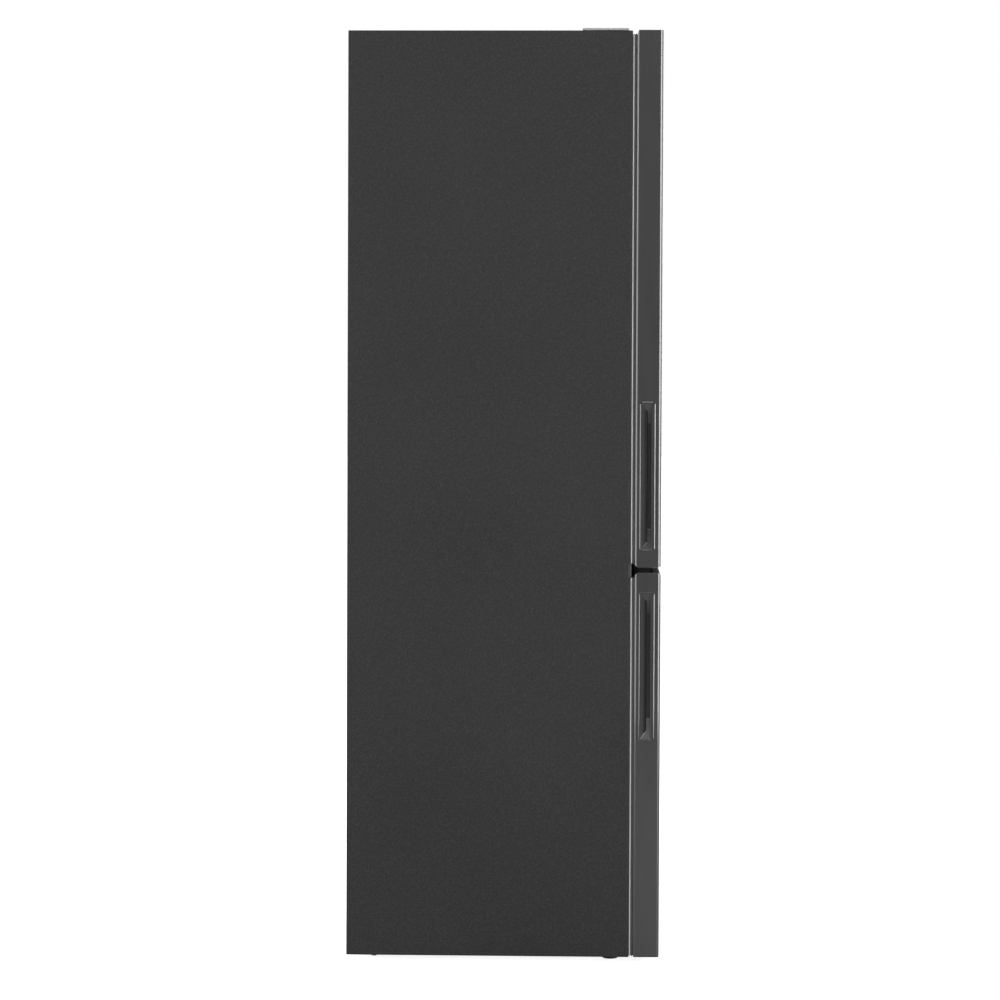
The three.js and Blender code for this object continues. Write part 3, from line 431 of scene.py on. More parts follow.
def trim_corner(bm, first, second, outside, axis):
    """Cuts off what lies on a third point's side of the plane through two others along an axis."""
    solid = not any(edge.is_boundary for edge in bm.edges)
    first, second, outside = (Vector(point) for point in (first, second, outside))
    across = Vector(axis).cross(second - first)
    if across.dot(outside - first) < 0:
        across.negate()
    bmesh.ops.bisect_plane(bm, geom=bm.verts[:] + bm.edges[:] + bm.faces[:], plane_co=first,
                           plane_no=across, clear_outer=True)
    if solid:
        bmesh.ops.holes_fill(bm, edges=[edge for edge in bm.edges if edge.is_boundary])


def trim_ends(bm, door, spare=0.0):
    """Cuts off a door's corners, as they show from its side, a little deeper if there is spare."""
    low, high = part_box(door + "_skin")
    for end, into in ((low.z, 1), (high.z, -1)):
        for trim, y, inward in zip(end_trim[door, into], (low.y, high.y), (1, -1)):
            if trim:
                edge = y + inward * spare
                trim_corner(bm, (0, edge, end + into * trim[1] * mm),
                            (0, edge + inward * trim[0] * mm, end), (0, y, end), (1, 0, 0))


def ease_uprights(bm, low, high):
    """Eases a door's upright edges: a shallow slope on each side, then a tight bend at the front."""
    for x in (low.x, high.x):
        for y, run in ((low.y, front_slope), (high.y, -rear_slope)):
            inset = abs(run) * math.tan(slope_angle)
            trim_corner(bm, (x, y + run, 0), (x - math.copysign(inset, x), y, 0), (x, y, 0), (0, 0, 1))
    round_off(bm, crest_bend, 2, lambda m: near(abs(m.x), high.x) and low.z < m.z < high.z)
    round_off(bm, front_bend, 4, lambda m: near(m.y, low.y) and abs(m.x) > high.x - 4 * mm)


for door in doors:
    low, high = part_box(door + "_skin")
    leaf = brick(low, high)
    ease_uprights(leaf, low, high)
    leaf.normal_update()
    remove_faces(leaf, lambda face: face.normal.y > 0.9 or abs(face.normal.z) > 0.9)
    trim_ends(leaf, door)
    face_out(leaf)
    thicken(leaf, sheet)
    for x in (low.x, high.x):
        for end, into in ((low.z, 1), (high.z, -1)):
            trim_corner(leaf, (x, 0, end + into * hem_rise), (x - math.copysign(hem_run, x), 0, end),
                        (x, 0, end), (0, 1, 0))
    grip_low, grip_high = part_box(door + "_grip")
    hole = prism(*grown(grip_low.yz, grip_high.yz, -grip_overlap), grip_corner, low.x - mm,
                 low.x + 2 * mm, "x", steps=6)
    set_piece(door + "_sheet", carve(leaf, hole), door, door_paint, door + "_skin")

# ---- end caps
# Black moulded caps close the doors' sheets above and below. They lie a little inside the sheet's
# edge, with a sunk panel in the middle and a bush for the hinge pin.
black_moulding = Finish("black_moulding", Specular_IOR_Level=0.4)
tooth = black_moulding.noise(0.7 * mm, 3)
black_moulding.coat(black_moulding.noise(0.04), grey(0.011), grey(0.018), 0.5 + tooth * 0.16)
black_moulding.relief(tooth, 0.06 * mm)

cap_sink = 1.2 * mm
panel_sink = 2 * mm
pin_x, pin_y = 277.5 * mm, -315 * mm
pin_bore = 4.4 * mm
bush_radius = 9 * mm


def rod(radius, start, end, x=pin_x, y=pin_y, sides=24):
    """An upright round bar between two heights, on the doors' hinge axis if not placed elsewhere."""
    bm = bmesh.new()
    bmesh.ops.create_cone(bm, cap_ends=True, segments=sides, radius1=radius, radius2=radius,
                          depth=abs(end - start), matrix=Matrix.Translation((x, y, (start + end) / 2)))
    return bm


for door in doors:
    for end, outward in (("_top_cap", 1), ("_bottom_cap", -1)):
        low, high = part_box(door + end)
        root, rim = (low.z, high.z)[::outward]
        face = rim - outward * cap_sink
        cap = brick((low.x, low.y, face), (high.x, high.y, root))
        ease_uprights(cap, low, high)
        trim_ends(cap, door, spare=cap_sink)
        sunk = prism((low.x + 16 * mm, low.y + 15 * mm), (pin_x - 22 * mm, high.y - 14 * mm), 6 * mm,
                     face - panel_sink, face + panel_sink)
        cap = carve(cap, sunk, rod(pin_bore, root - outward * mm, rim + outward * mm))
        bush = carve(rod(bush_radius, face - outward * mm, rim),
                     rod(pin_bore, rim - 5 * mm, rim + 5 * mm))
        set_piece(door + end + "_moulding", gather(cap, bush), door, black_moulding,
                  door + end)

# ---- side grips
# A long moulded grip with a rounded bead round it is set into each door's handle side. Its floor
# slopes from the rear down to a slot that runs on behind the front lip, and its ends slope too.
bead = 2.6 * mm
rim_ease = 0.1 * mm
dish_depth = 2.4 * mm
ramp_margin = 2.1 * mm
ramp_run = 12 * mm
ramp_drop = 11 * mm
slot_width = 9 * mm
lip = 4 * mm
undercut = 6 * mm
grip_back = 3 * mm
end_margin = 2 * mm
end_slope = 1.8

for door in doors:
    low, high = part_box(door + "_grip")

    def nested(*profile):
        """A rounded block whose outline draws in by an inset at each depth."""
        return moulding([(*grown(low.yz, high.yz, -inset), grip_corner - inset, low.x + depth)
                         for inset, depth in profile], "x", steps=8)

    body = nested((0, high.x - low.x), (0, 0.8 * mm), (0.3 * mm, 0.62 * mm), (2.1 * mm, rim_ease))
    body = carve(body, nested((bead - mm, -1.3 * mm), (bead, rim_ease), (bead + 1.6 * mm, dish_depth)))
    round_off(body, 0.8 * mm, 3, lambda m: near(m.x, low.x + rim_ease), bend=0.6)
    bed = low.x + dish_depth
    deep = high.x - grip_back
    ramp_start = high.y - bead - ramp_margin
    slot_rear = ramp_start - ramp_run
    slot_front = slot_rear - slot_width
    plan = [(bed - mm, ramp_start), (bed, ramp_start), (low.x + ramp_drop, slot_rear), (deep, slot_rear),
            (deep, slot_front - undercut), (bed + lip, slot_front - undercut), (bed + lip, slot_front),
            (bed - mm, slot_front)]
    hollow = bmesh.new()
    section = hollow.faces.new([hollow.verts.new((x, y, low.z + bead + end_margin)) for x, y in plan])
    raised = [item for item in bmesh.ops.extrude_face_region(hollow, geom=[section])["geom"]
              if isinstance(item, bmesh.types.BMVert)]
    bmesh.ops.translate(hollow, vec=(0, 0, high.z - low.z - 2 * (bead + end_margin)), verts=raised)
    for vert in hollow.verts:
        rise = (vert.co.x - bed) * end_slope
        vert.co.z += -rise if vert in raised else rise
    face_out(hollow)
    # the edges inside the mouth, without the front wall's two that run out through it
    round_off(hollow, 1.2 * mm, 3, lambda m: m.x > bed - rim_ease and not near(m.x, bed + (lip - mm) / 2))
    grip = carve(body, hollow)
    round_off(grip, 0.7 * mm, 3, lambda m: near(m.x, bed), bend=0.3)
    set_piece(door + "_side_grip", grip, door, door_paint, door + "_grip")

# ---- door seals
# A soft seal runs round the back of each door: a light grey magnet bulb that meets the cabinet, on
#  folded bellows that are pressed into the door's liner. The bellows' dark grey is partly the rubber's
#  own colour and partly painted shade for the deep gap between the door and the cabinet.
seal_rubber = Finish("seal_rubber", Specular_IOR_Level=0.35)
bloom = seal_rubber.noise(0.02, 3)
seal_rubber.coat(bloom, grey(0.44), grey(0.52), 0.6 + bloom * 0.15)
seal_rubber.relief(seal_rubber.noise(1.2 * mm, 2), 0.03 * mm)
# the bellows' dark grey is painted shade for the gap between door and cabinet, over the rubber's own grey
bellows_shade_rubber = Finish("bellows_rubber_painted_shade", Specular_IOR_Level=0.3)
bellows_mottle = bellows_shade_rubber.noise(0.015, 3)
bellows_shade_rubber.coat(bellows_mottle, grey(0.06), grey(0.09), 0.65 + bellows_mottle * 0.15)
bellows_shade_rubber.relief(bellows_shade_rubber.noise(1.1 * mm, 2), 0.03 * mm)

# sections in mm: how far in from the seal's outer edge, and how far behind the door
bulb_section = [(2.4, 6.5), (0.5, 6.9), (0, 7.8), (0, 9.0), (0.8, 9.7), (14.5, 9.8), (16, 9.0),
                (16, 7.4), (14.5, 6.5)]
bellows_section = [(3.4, 0), (3.2, 1.4), (2.2, 2.4), (2.2, 3.4), (3.4, 4.4), (3.4, 5.6), (3, 6.6),
                   (2.6, 7.8), (12.5, 7.8), (13, 0)]
seal_half = 294 * mm
# in mm: how far bulb and bellows reach past the solid's lower and upper ends
bulb_reach = {"fridge_door": (3, 1.5), "freezer_door": (9.3, 0)}
# the bellows reach past the bulb so that their dark rubber fills the gap at the doors' ends as painted
# shade
bellows_reach = {"fridge_door": (8.4, 6.5), "freezer_door": (14.7, 4)}
for door in doors:
    low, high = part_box(door + "_gasket")
    door_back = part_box(door + "_skin")[1].y

    def seal_ring(section, reach_low, reach_high):
        """A ring of one section. Its outer edge reaches furthest, its inner edge stays put."""
        widest = max(inset for inset, depth in section)
        ring = []
        for inset, depth in section:
            side = seal_half - inset * mm
            outer = 1 - inset / widest
            ring.append(((-side, low.z - (reach_low * outer - inset) * mm),
                         (side, high.z + (reach_high * outer - inset) * mm),
                         max(4 - 0.2 * inset, 1) * mm, door_back + depth * mm))
        return moulding(ring, "y", closed=True)

    set_piece(door + "_seal_bulb", seal_ring(bulb_section, *bulb_reach[door]), door,
              seal_rubber, door + "_gasket")
    set_piece(door + "_seal_bellows", seal_ring(bellows_section, *bellows_reach[door]), door,
              bellows_shade_rubber, door + "_gasket")

# ---- liners
# White vacuum-formed liners with soft corners: one in each compartment, with a flange over the
# cabinet's front and ledges for the shelves, and one on each door, with a raised ridge.
white_moulding = Finish("white_moulding", Specular_IOR_Level=0.3)
wave = white_moulding.noise(0.05, 2)
white_moulding.coat(wave, grey(0.62, 0.006), grey(0.68, 0.006),
                    0.46 + white_moulding.noise(0.9 * mm, 2) * 0.12)
white_moulding.relief(white_moulding.noise(1.0 * mm, 2), 0.02 * mm)

fridge_shelves = ("glass_shelf_1", "glass_shelf_2", "glass_shelf_3", "crisper_cover")
freezer_shelves = ("freezer_glass_1", "freezer_glass_2")
# how far each shelf's front trim hangs below its glass
trim_below = {**dict.fromkeys(fridge_shelves, 3 * mm), **dict.fromkeys(freezer_shelves, 6 * mm)}
trim_depth = 14 * mm
ledge_reach, ledge_height = 9 * mm, 8 * mm
liner_wall = 2 * mm
liner_sheet = 1.2 * mm
skim = 0.2 * mm


def flat_at(y):
    """A test for the faces that lie flat at one depth."""
    return lambda face: all(near(vert.co.y, y) for vert in face.verts)


def ledges(shelves, half):
    """Rounded rails on a compartment's side walls, which carry its shelves."""
    rails = []
    for name in shelves:
        low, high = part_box(name)
        level = low.z + trim_below[name] - fit
        for side in (-1, 1):
            rail = brick((side * (half - ledge_reach), low.y + trim_depth + 6 * mm, level - ledge_height),
                         (side * (half + 0.5 * mm), high.y, level))
            round_off(rail, 2.5 * mm, 3, lambda m: abs(m.x) < half - mm)
            rails.append(rail)
    return rails


fridge_half = 250.5 * mm
fridge_corner = 14 * mm
fridge_low, fridge_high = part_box("fridge_liner")
front, rear = fridge_low.y, fridge_high.y
room_low, room_high = (-fridge_half, 903 * mm), (fridge_half, 1983 * mm)
layers = [(fridge_low.xz, fridge_high.xz, 5 * mm, front + depth) for depth in (liner_wall, skim)]
layers += [(*grown(room_low, room_high, out * mm), fridge_corner, y)
           for out, y in ((3, front + skim), (0.8, front + mm), (0, front + 4 * mm),
                          (0, rear - 14 * mm), (-3, rear - 5 * mm), (-11, rear - liner_wall))]
room = moulding(layers, "y", steps=5)
remove_faces(room, flat_at(front + liner_wall))
thicken(room, -liner_sheet)
set_piece("fridge_inner_liner", gather(room, *ledges(fridge_shelves, fridge_half)), "cabinet",
          white_moulding, "fridge_liner")

freezer_half = 237.5 * mm
freezer_corner = 11 * mm
freezer_floor, freezer_ceiling = 75 * mm, 818 * mm
hump_front, hump_top = 106 * mm, 245 * mm
freezer_low, freezer_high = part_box("freezer_liner")
front = freezer_low.y
room = brick((-freezer_half, front, freezer_floor),
             (freezer_half, freezer_high.y - liner_wall, freezer_ceiling))
room = carve(room, brick((-1, hump_front, 0), (1, 1, hump_top)))
round_off(room, freezer_corner, 4, lambda m: m.y > front + mm)
room.normal_update()
remove_faces(room, flat_at(front))
face_out(room)
thicken(room, -liner_sheet)
plate = prism(freezer_low.xz, freezer_high.xz, 4 * mm, front + skim, front + liner_wall, "y")
plate = carve(plate, prism((-freezer_half, freezer_floor), (freezer_half, freezer_ceiling),
                           freezer_corner, front - mm, front + 5 * mm, "y"))
set_piece("freezer_inner_liner", gather(room, plate, *ledges(freezer_shelves, freezer_half)),
          "cabinet", white_moulding, "freezer_liner")

ridge_width = 30
rim_tuck = 1.6 * mm
lug_reach = 6 * mm
baskets = ("door_basket_bottom", "door_basket_middle", "door_basket_top")
# in mm: half of each door's ridge, its lower and its upper edge
ridges = {"fridge_door": (238.5, 913, 1973), "freezer_door": (225.5, 85, 808)}
for door in doors:
    low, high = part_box(door + "_liner")
    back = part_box(door + "_skin")[1].y
    rise = (high.y - back) / mm
    ridge_half, ridge_bottom, ridge_top = (size * mm for size in ridges[door])
    inner_half = ridge_half - ridge_width * mm
    rim = ((-seal_half, low.z + 0.4 * mm), (seal_half, high.z - 0.4 * mm), 3 * mm)
    profile = ((1.5, 0), (0.2, 2), (0, rise - 4), (-1.4, rise - 1), (-4.5, rise),
               (3.5 - ridge_width, rise), (0.8 - ridge_width, rise - 1), (-ridge_width, rise - 4),
               (-ridge_width - 1, 3), (-ridge_width - 4, 0))
    layers = [(*rim, back - rim_tuck), (*rim, back - skim)]
    for out, up in profile:
        crest = grown((-ridge_half, ridge_bottom), (ridge_half, ridge_top), out * mm)
        layers.append((*crest, (15 + out * 0.3) * mm, back - skim + up * mm))
    inner_sheet = moulding(layers, "y", steps=5)
    remove_faces(inner_sheet, flat_at(back - rim_tuck))
    thicken(inner_sheet, sheet)
    parts = [inner_sheet]
    for name in baskets if door == "fridge_door" else ():
        floor_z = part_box(name)[0].z
        for side in (-1, 1):
            lug = brick((side * (inner_half - lug_reach), back + 3 * mm, floor_z + 28 * mm),
                        (side * (inner_half + mm), back + 23 * mm, floor_z + 40 * mm))
            round_off(lug, 2 * mm, 3, lambda m: abs(m.x) < inner_half - 2 * mm)
            parts.append(lug)
    set_piece(door + "_inner_liner", gather(*parts), door, white_moulding,
              door + "_liner")

# ---- glass shelves
# Toughened glass plates with a moulded white trim clipped to the front edge and a lip at the back,
# which rest on the liners' ledges. The lowest fridge one covers the crisper drawer.
shelf_glass = Finish("shelf_glass", Transmission_Weight=0.92, IOR=1.5)
smear = shelf_glass.noise(0.12, 3)
shelf_glass.coat(smear, (0.86, 0.95, 0.93, 1), (0.92, 0.98, 0.97, 1), 0.01 + smear * 0.04)
trim_white = Finish("trim_white", Specular_IOR_Level=0.5)
trim_grain = trim_white.noise(0.8 * mm, 2)
trim_white.coat(trim_white.noise(0.05), grey(0.60, 0.01), grey(0.66, 0.01), 0.28 + trim_grain * 0.14)
trim_white.relief(trim_grain, 0.03 * mm)

glass = 4 * mm
glass_ease = 0.6 * mm
for name, below in trim_below.items():
    low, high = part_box(name)
    base = low.z + below
    plate = moulding([(*grown((low.x, low.y + mm), high.xy, -inset), 4 * mm, base + level) for
                      inset, level in ((glass_ease, 0), (0, glass_ease), (0, glass - glass_ease),
                                       (glass_ease, glass))])
    set_piece(name + "_plate", plate, "cabinet", shelf_glass, name)
    front = brick(low, (high.x, low.y + trim_depth, low.z + 10 * mm))
    round_off(front, 2.6 * mm, 4)
    rear_top = high.z if name in fridge_shelves else base + glass + 2 * mm
    rear = brick((low.x, high.y - 6 * mm, base - 1.5 * mm), (high.x, high.y, rear_top))
    round_off(rear, 1.4 * mm, 3)
    set_piece(name + "_trim", gather(front, rear), "cabinet", trim_white, name)

# ---- drawers
# Clear injection-moulded drawers, thin-walled with a rolled edge and ribs underneath, each with a
# thicker front that has a sunk field and a finger scoop in its upper edge.
clear_plastic = Finish("clear_plastic", Transmission_Weight=0.85, IOR=1.49)
haze = clear_plastic.noise(0.09, 3)
clear_plastic.coat(haze, (0.88, 0.92, 0.93, 1), (0.94, 0.97, 0.975, 1), 0.05 + haze * 0.08)
clear_plastic.relief(clear_plastic.noise(2.5 * mm, 2), 0.02 * mm)

wall = 2.5 * mm
front_wall = 10 * mm
scoop_half = 80 * mm
rib_half = 1 * mm


def tub(low, high, corner, thickness):
    """An open tray with drawn-in sides, a soft lower edge and an even wall."""
    bottom, top = low[2], high[2]
    outside = ((7 * mm, bottom), (3 * mm, bottom + mm), (1.4 * mm, bottom + 5 * mm),
               (0, top - 3 * mm), (0, top - 0.6 * mm), (0.6 * mm, top))
    inside = ((thickness - 0.6 * mm, top), (thickness, top - mm),
              (thickness + 1.4 * mm, bottom + 5 * mm + thickness), (thickness + 6 * mm, bottom + thickness))
    layers = [(*grown(low, high, -inset), corner, z) for inset, z in outside]
    layers += [(*grown(low, high, -inset), corner - mm, z) for inset, z in inside]
    return moulding(layers, steps=5)


for name in ("crisper_drawer", "freezer_drawer_bottom", "freezer_drawer_middle", "freezer_drawer_top"):
    low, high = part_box(name)
    tray = tub((low.x + mm, low.y + front_wall - 2 * mm, low.z), (high.x - mm, high.y, high.z - 2 * mm),
               10 * mm, wall)
    panel = brick((low.x, low.y, low.z + mm), (high.x, low.y + front_wall, high.z))
    round_off(panel, 3 * mm, 4)
    field = ((low.x + 18 * mm, low.z + 22 * mm), (high.x - 18 * mm, high.z - 30 * mm))
    panel = carve(panel, moulding([(*grown(*field, -inset), 8 * mm, low.y + depth) for inset, depth in
                                   ((0, -mm), (0, 0.4 * mm), (1.6 * mm, 1.8 * mm))], "y", steps=5))
    ribs = [brick((x - rib_half, low.y + 20 * mm, low.z + 1.2 * mm),
                  (x + rib_half, high.y - 20 * mm, low.z + wall + 1.5 * mm))
            for x in (-150 * mm, -50 * mm, 50 * mm, 150 * mm)]
    scoop = prism((-scoop_half, high.z - 16 * mm), (scoop_half, high.z + 30 * mm), 12 * mm,
                  low.y - mm, low.y + front_wall + mm, "y", steps=6)
    drawer = carve(carve(tray, panel, *ribs, how="UNION"), scoop)
    set_piece(name + "_moulding", drawer, name, clear_plastic, name)

# ---- door baskets
# Clear baskets hang by an ear at each end on the door liner's lugs. A white band is clipped to the
# upper edge of the front.
tub_half = 201.5 * mm
basket_wall = 3 * mm
band_inset = 10 * mm
for name in baskets:
    low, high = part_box(name)
    basket = tub((-tub_half, low.y, low.z), (tub_half, high.y - 1.5 * mm, high.z), 12 * mm, basket_wall)
    ears = [brick((side * (tub_half - 2 * mm), low.y + 4 * mm, low.z + 40.3 * mm),
                  (side * high.x, low.y + 21 * mm, low.z + 54.3 * mm)) for side in (-1, 1)]
    for ear in ears:
        round_off(ear, 1.6 * mm)
    set_piece(name + "_moulding", carve(basket, *ears, how="UNION"), name,
              clear_plastic, name)
    band = brick((band_inset - tub_half, high.y - 2.6 * mm, high.z - 20 * mm),
                 (tub_half - band_inset, high.y, high.z - 4 * mm))
    round_off(band, 1.0 * mm)
    set_piece(name + "_band", band, name, trim_white, name)

# ---- air covers
# White moulded covers: one over the cold air duct on the fridge's back wall, one over the freezer's
# evaporator. Both have rounded edges and rows of rounded outlets.


def slot(x, z, half, half_height, start, end):
    """The shape of a level slot with round ends, about a point and from one depth to another."""
    return prism((x - half, z - half_height), (x + half, z + half_height), half_height - 0.1 * mm,
                 start, end, "y")


outlet_half = 4 * mm
duct_low, duct_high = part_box("air_duct_cover")
duct = brick(duct_low, duct_high)
round_off(duct, 6 * mm, 4, lambda m: m.y < duct_high.y - mm)
outlets = [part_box(name)[0].z + trim_below[name] - 60 * mm for name in fridge_shelves[:3]]
for z in outlets + [duct_high.z - 80 * mm]:
    for x in (-29 * mm, 29 * mm):
        duct = carve(duct, slot(x, z, 26 * mm, outlet_half, duct_low.y - mm, duct_low.y + 12 * mm))
set_piece("air_duct_moulding", duct, "cabinet", white_moulding, "air_duct_cover")

cover_low, cover_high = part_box("evaporator_cover")
fan_z = sum(corner.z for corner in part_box("evaporator_fan")) / 2
panel = brick(cover_low, cover_high)
round_off(panel, 7 * mm, 4, lambda m: m.y < cover_high.y - mm)
inside = brick((cover_low.x + wall, cover_low.y + wall, cover_low.z - mm),
               (cover_high.x - wall, cover_high.y + mm, cover_high.z - wall))
slots = [slot(0, fan_z + k * 18 * mm, 70 * mm, outlet_half, cover_low.y - mm, cover_low.y + 5 * mm)
         for k in range(-3, 4)]
panel = carve(carve(panel, inside), *slots)
set_piece("evaporator_panel", panel, "cabinet", white_moulding, "evaporator_cover")

# ---- lamp and keys
# Under the fridge's ceiling sit a frosted, ribbed lamp and a grey control panel. Its two sprung keys
# stand a millimetre proud, each with a plain raised mark.
lamp_diffuser = Finish("lamp_diffuser", Transmission_Weight=0.3, IOR=1.49, Emission_Strength=0.55)
frost = lamp_diffuser.noise(1.4 * mm, 2)
lamp_diffuser.coat(frost, grey(0.84), grey(0.92), 0.4 + frost * 0.2,
                   Emission_Color=lamp_diffuser.blend(frost, (0.93, 0.97, 1, 1), (1, 1, 1, 1)))
lamp_diffuser.relief(frost, 0.1 * mm)

groove_pitch = 11.2 * mm
low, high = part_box("ceiling_lamp")
lamp = moulding([(*grown(low, high, -inset * mm), (10 - 0.5 * inset) * mm, low.z + depth * mm)
                 for inset, depth in ((5, 0), (2, 1), (0.4, 4), (0, 12))], steps=6)
grooves = [brick((low.x + 14 * mm + k * groove_pitch, low.y + 14 * mm, low.z),
                 (low.x + 18 * mm + k * groove_pitch, high.y - 14 * mm, low.z + 0.8 * mm))
           for k in range(18)]
set_piece("lamp_cover", carve(lamp, *grooves), "cabinet", lamp_diffuser,
          "ceiling_lamp")

low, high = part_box("control_panel")
panel = moulding([(*grown(low, high, -inset * mm), 6 * mm, low.z + depth * mm)
                  for inset, depth in ((2, 0), (0.6, 0.6), (0, 2.2), (0, 10))], steps=5)
keys = ("control_button_1", "control_button_2")
wells = [prism(*grown(*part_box(name), fit), 2.2 * mm, low.z - mm, high.z - 0.5 * mm) for name in keys]
set_piece("control_fascia", carve(panel, *wells), "cabinet", grey_moulding,
          "control_panel")
for name in keys:
    low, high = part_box(name)
    key = moulding([(*grown(low, high, -inset * mm), 2 * mm, low.z + depth * mm)
                    for inset, depth in ((1.2, 0.4), (0.7, 0), (0.3, 0.2), (0, 0.9), (0, 9))], steps=5)
    middle = (low + high) / 2
    mark = rod(1.6 * mm, low.z + 0.1 * mm, low.z + 0.6 * mm, middle.x, middle.y, 20)
    set_piece(name + "_key", gather(key, mark), name, trim_white, name)

# ---- hinges
# Zinc-plated hinge plates with round pins. The top one lies on the cabinet's roof under the cover,
# the middle one holds to the cross rail, and the bottom one is screwed under the base.
zinc = Finish("zinc_plate", Metallic=0.9, Specular_IOR_Level=0.5)
spangle = zinc.cells(7 * mm)
zinc.coat(spangle, grey(0.40, 0.01), grey(0.50, 0.01), 0.3 + zinc.noise(3 * mm, 3) * 0.2)
zinc.relief(zinc.noise(0.6 * mm, 2), 0.01 * mm)

pin_radius = 4 * mm
head_radius = 4 * mm
arm_corner = 9 * mm
hinge_near, hinge_far = 255.5 * mm, 291.5 * mm


def moved(bm, place, turn=Matrix()):
    """The mesh, turned about the origin and then moved to a place."""
    bmesh.ops.transform(bm, matrix=Matrix.Translation(place) @ turn, verts=bm.verts)
    return bm


def screw_head(place, facing, height):
    """A pan head with a cross recess, whose seat is at a place and which faces a direction."""
    head = rod(head_radius, 0, height, 0, 0, 20)
    round_off(head, height * 0.55, 3, lambda m: near(m.z, height))
    length, width, recess = head_radius * 0.55, head_radius * 0.14, height * 0.4
    head = carve(head, brick((-length, -width, recess), (length, width, height * 2)))
    head = carve(head, brick((-width, -length, recess), (width, length, height * 2)))
    return moved(head, place, Vector(facing).to_track_quat("Z", "Y").to_matrix().to_4x4())


def pin(low, high, eased):
    """A hinge's pin over the height of its box, with the given ends eased."""
    bar = rod(pin_radius, low.z, high.z)
    round_off(bar, mm, 2, lambda m: any(near(m.z, end) for end in eased))
    return bar


low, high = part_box("top_hinge")
arm = brick((hinge_near, low.y, high.z - 2.5 * mm), (hinge_far, high.y, high.z))
round_off(arm, arm_corner, 5, lambda m: near(m.y, low.y) and abs(m.z - high.z + 1.25 * mm) < mm)
pad = brick((hinge_near, -265 * mm, strip_low.z), (hinge_far, high.y, high.z - 2 * mm))
set_piece("top_hinge_plate", gather(arm, pad, pin(low, high, [low.z])), "cabinet", zinc,
          "top_hinge")

low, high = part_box("middle_hinge")
gap_z = (low.z + high.z) / 2
seat = brick((hinge_near, high.y - 3 * mm, gap_z - 5 * mm), (hinge_far, high.y, gap_z + 5 * mm))
round_off(seat, 0.8 * mm, 2)
tongue = brick((hinge_near, low.y, gap_z - 1.5 * mm), (hinge_far, high.y - mm, gap_z + 1.5 * mm))
round_off(tongue, arm_corner, 5, lambda m: near(m.y, low.y) and near(m.z, gap_z))
collar = rod(7 * mm, gap_z - 4.5 * mm, gap_z + 4.5 * mm)
round_off(collar, 0.8 * mm, 2, lambda m: abs(m.z - gap_z) > 4 * mm)
set_piece("middle_hinge_bracket", gather(seat, tongue, pin(low, high, [low.z, high.z]), collar),
          "cabinet", zinc, "middle_hinge")

low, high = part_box("bottom_hinge")
plate = brick((hinge_near, low.y, low.z), (hinge_far, high.y, low.z + 3 * mm))
round_off(plate, arm_corner, 5, lambda m: near(m.y, low.y) and near(m.z, low.z + 1.5 * mm))
round_off(plate, 0.6 * mm, 2, lambda m: near(m.z, low.z))
heads = [screw_head((x * mm, y * mm, low.z), (0, 0, -1), 1.2 * mm)
         for x, y in ((265, -255), (282, -255), (273.5, -220))]
set_piece("bottom_hinge_plate", gather(plate, pin(low, high, [high.z]), *heads), "cabinet",
          zinc, "bottom_hinge")

# ---- feet and rollers
# The front stands on two screwed feet with rubber pads, the back on two plastic rollers with a
# grooved tread, so that the appliance can be tipped and pulled out.
black_rubber = Finish("black_rubber", Specular_IOR_Level=0.3)
scuff = black_rubber.noise(0.01, 3)
black_rubber.coat(scuff, grey(0.010), grey(0.022), 0.7 + scuff * 0.2)
black_rubber.relief(black_rubber.noise(0.8 * mm, 2), 0.08 * mm)

thread_pitch = 0.9
lying = Matrix.Rotation(math.pi / 2, 4, "Y")


def turned(profile, steps=32):
    """A closed profile of (radius, height) in mm, spun about the z axis."""
    bm = bmesh.new()
    verts = [bm.verts.new((radius * mm, 0, height * mm)) for radius, height in profile]
    edges = [bm.edges.new(pair) for pair in zip(verts, verts[1:])]
    bmesh.ops.spin(bm, geom=verts + edges, cent=(0, 0, 0), axis=(0, 0, 1), angle=2 * math.pi, steps=steps,
                   use_merge=True)
    bmesh.ops.remove_doubles(bm, verts=bm.verts, dist=0.01 * mm)
    face_out(bm)
    return bm


for side in ("left", "right"):
    name = "front_foot_" + side
    low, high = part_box(name)
    middle = (low + high) / 2
    top = (high.z - low.z) / mm
    thread = [(4 - 0.5 * (k % 2), 12.5 + thread_pitch * k) for k in range(19)]
    foot = turned([(0, 0), (14.5, 0), (16, 0.5), (17, 2), (17, 4.2), (16.2, 5), (17, 5.8), (17, 7),
                   (16.4, 8), (8, 8), (7.4, 8.6), (7.4, 11), (6.8, 11.6), (4, 11.6), *thread,
                   (3.2, top), (0, top)])
    set_piece(name + "_screw", moved(foot, (middle.x, middle.y, low.z)), name,
              black_rubber, name)

    name = "rear_roller_" + side
    low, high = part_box(name)
    middle = (low + high) / 2
    half = (high.x - low.x) / 2 / mm
    roller = turned([(3.3, -half), (5.2, -half), (5.6, 1.2 - half), (10, 1.2 - half), (10.4, -half),
                     (12, -half), (13, 1 - half), (13, -1.4), (12.4, -0.8), (12.4, 0.8), (13, 1.4),
                     (13, half - 1), (12, half), (10.4, half), (10, half - 1.2), (5.6, half - 1.2),
                     (5.2, half), (3.3, half), (3.3, -half)], 40)
    set_piece(name + "_wheel", moved(roller, middle, lying), name, black_moulding, name)

# ---- back panel
# A flat coated sheet closes the back. It is stiffened by long pressed beads and held along its edges
# by screws, and two plugs close the holes through which the foam was injected.
back_coating = Finish("back_coating", Metallic=0.2, Specular_IOR_Level=0.25)
streaks = back_coating.noise(0.03, 3, back_coating.stretched((1, 1, 0.06)))
back_coating.coat(streaks, grey(0.27), grey(0.33), 0.52 + streaks * 0.12)
back_coating.relief(back_coating.noise(1.0 * mm, 2), 0.015 * mm)

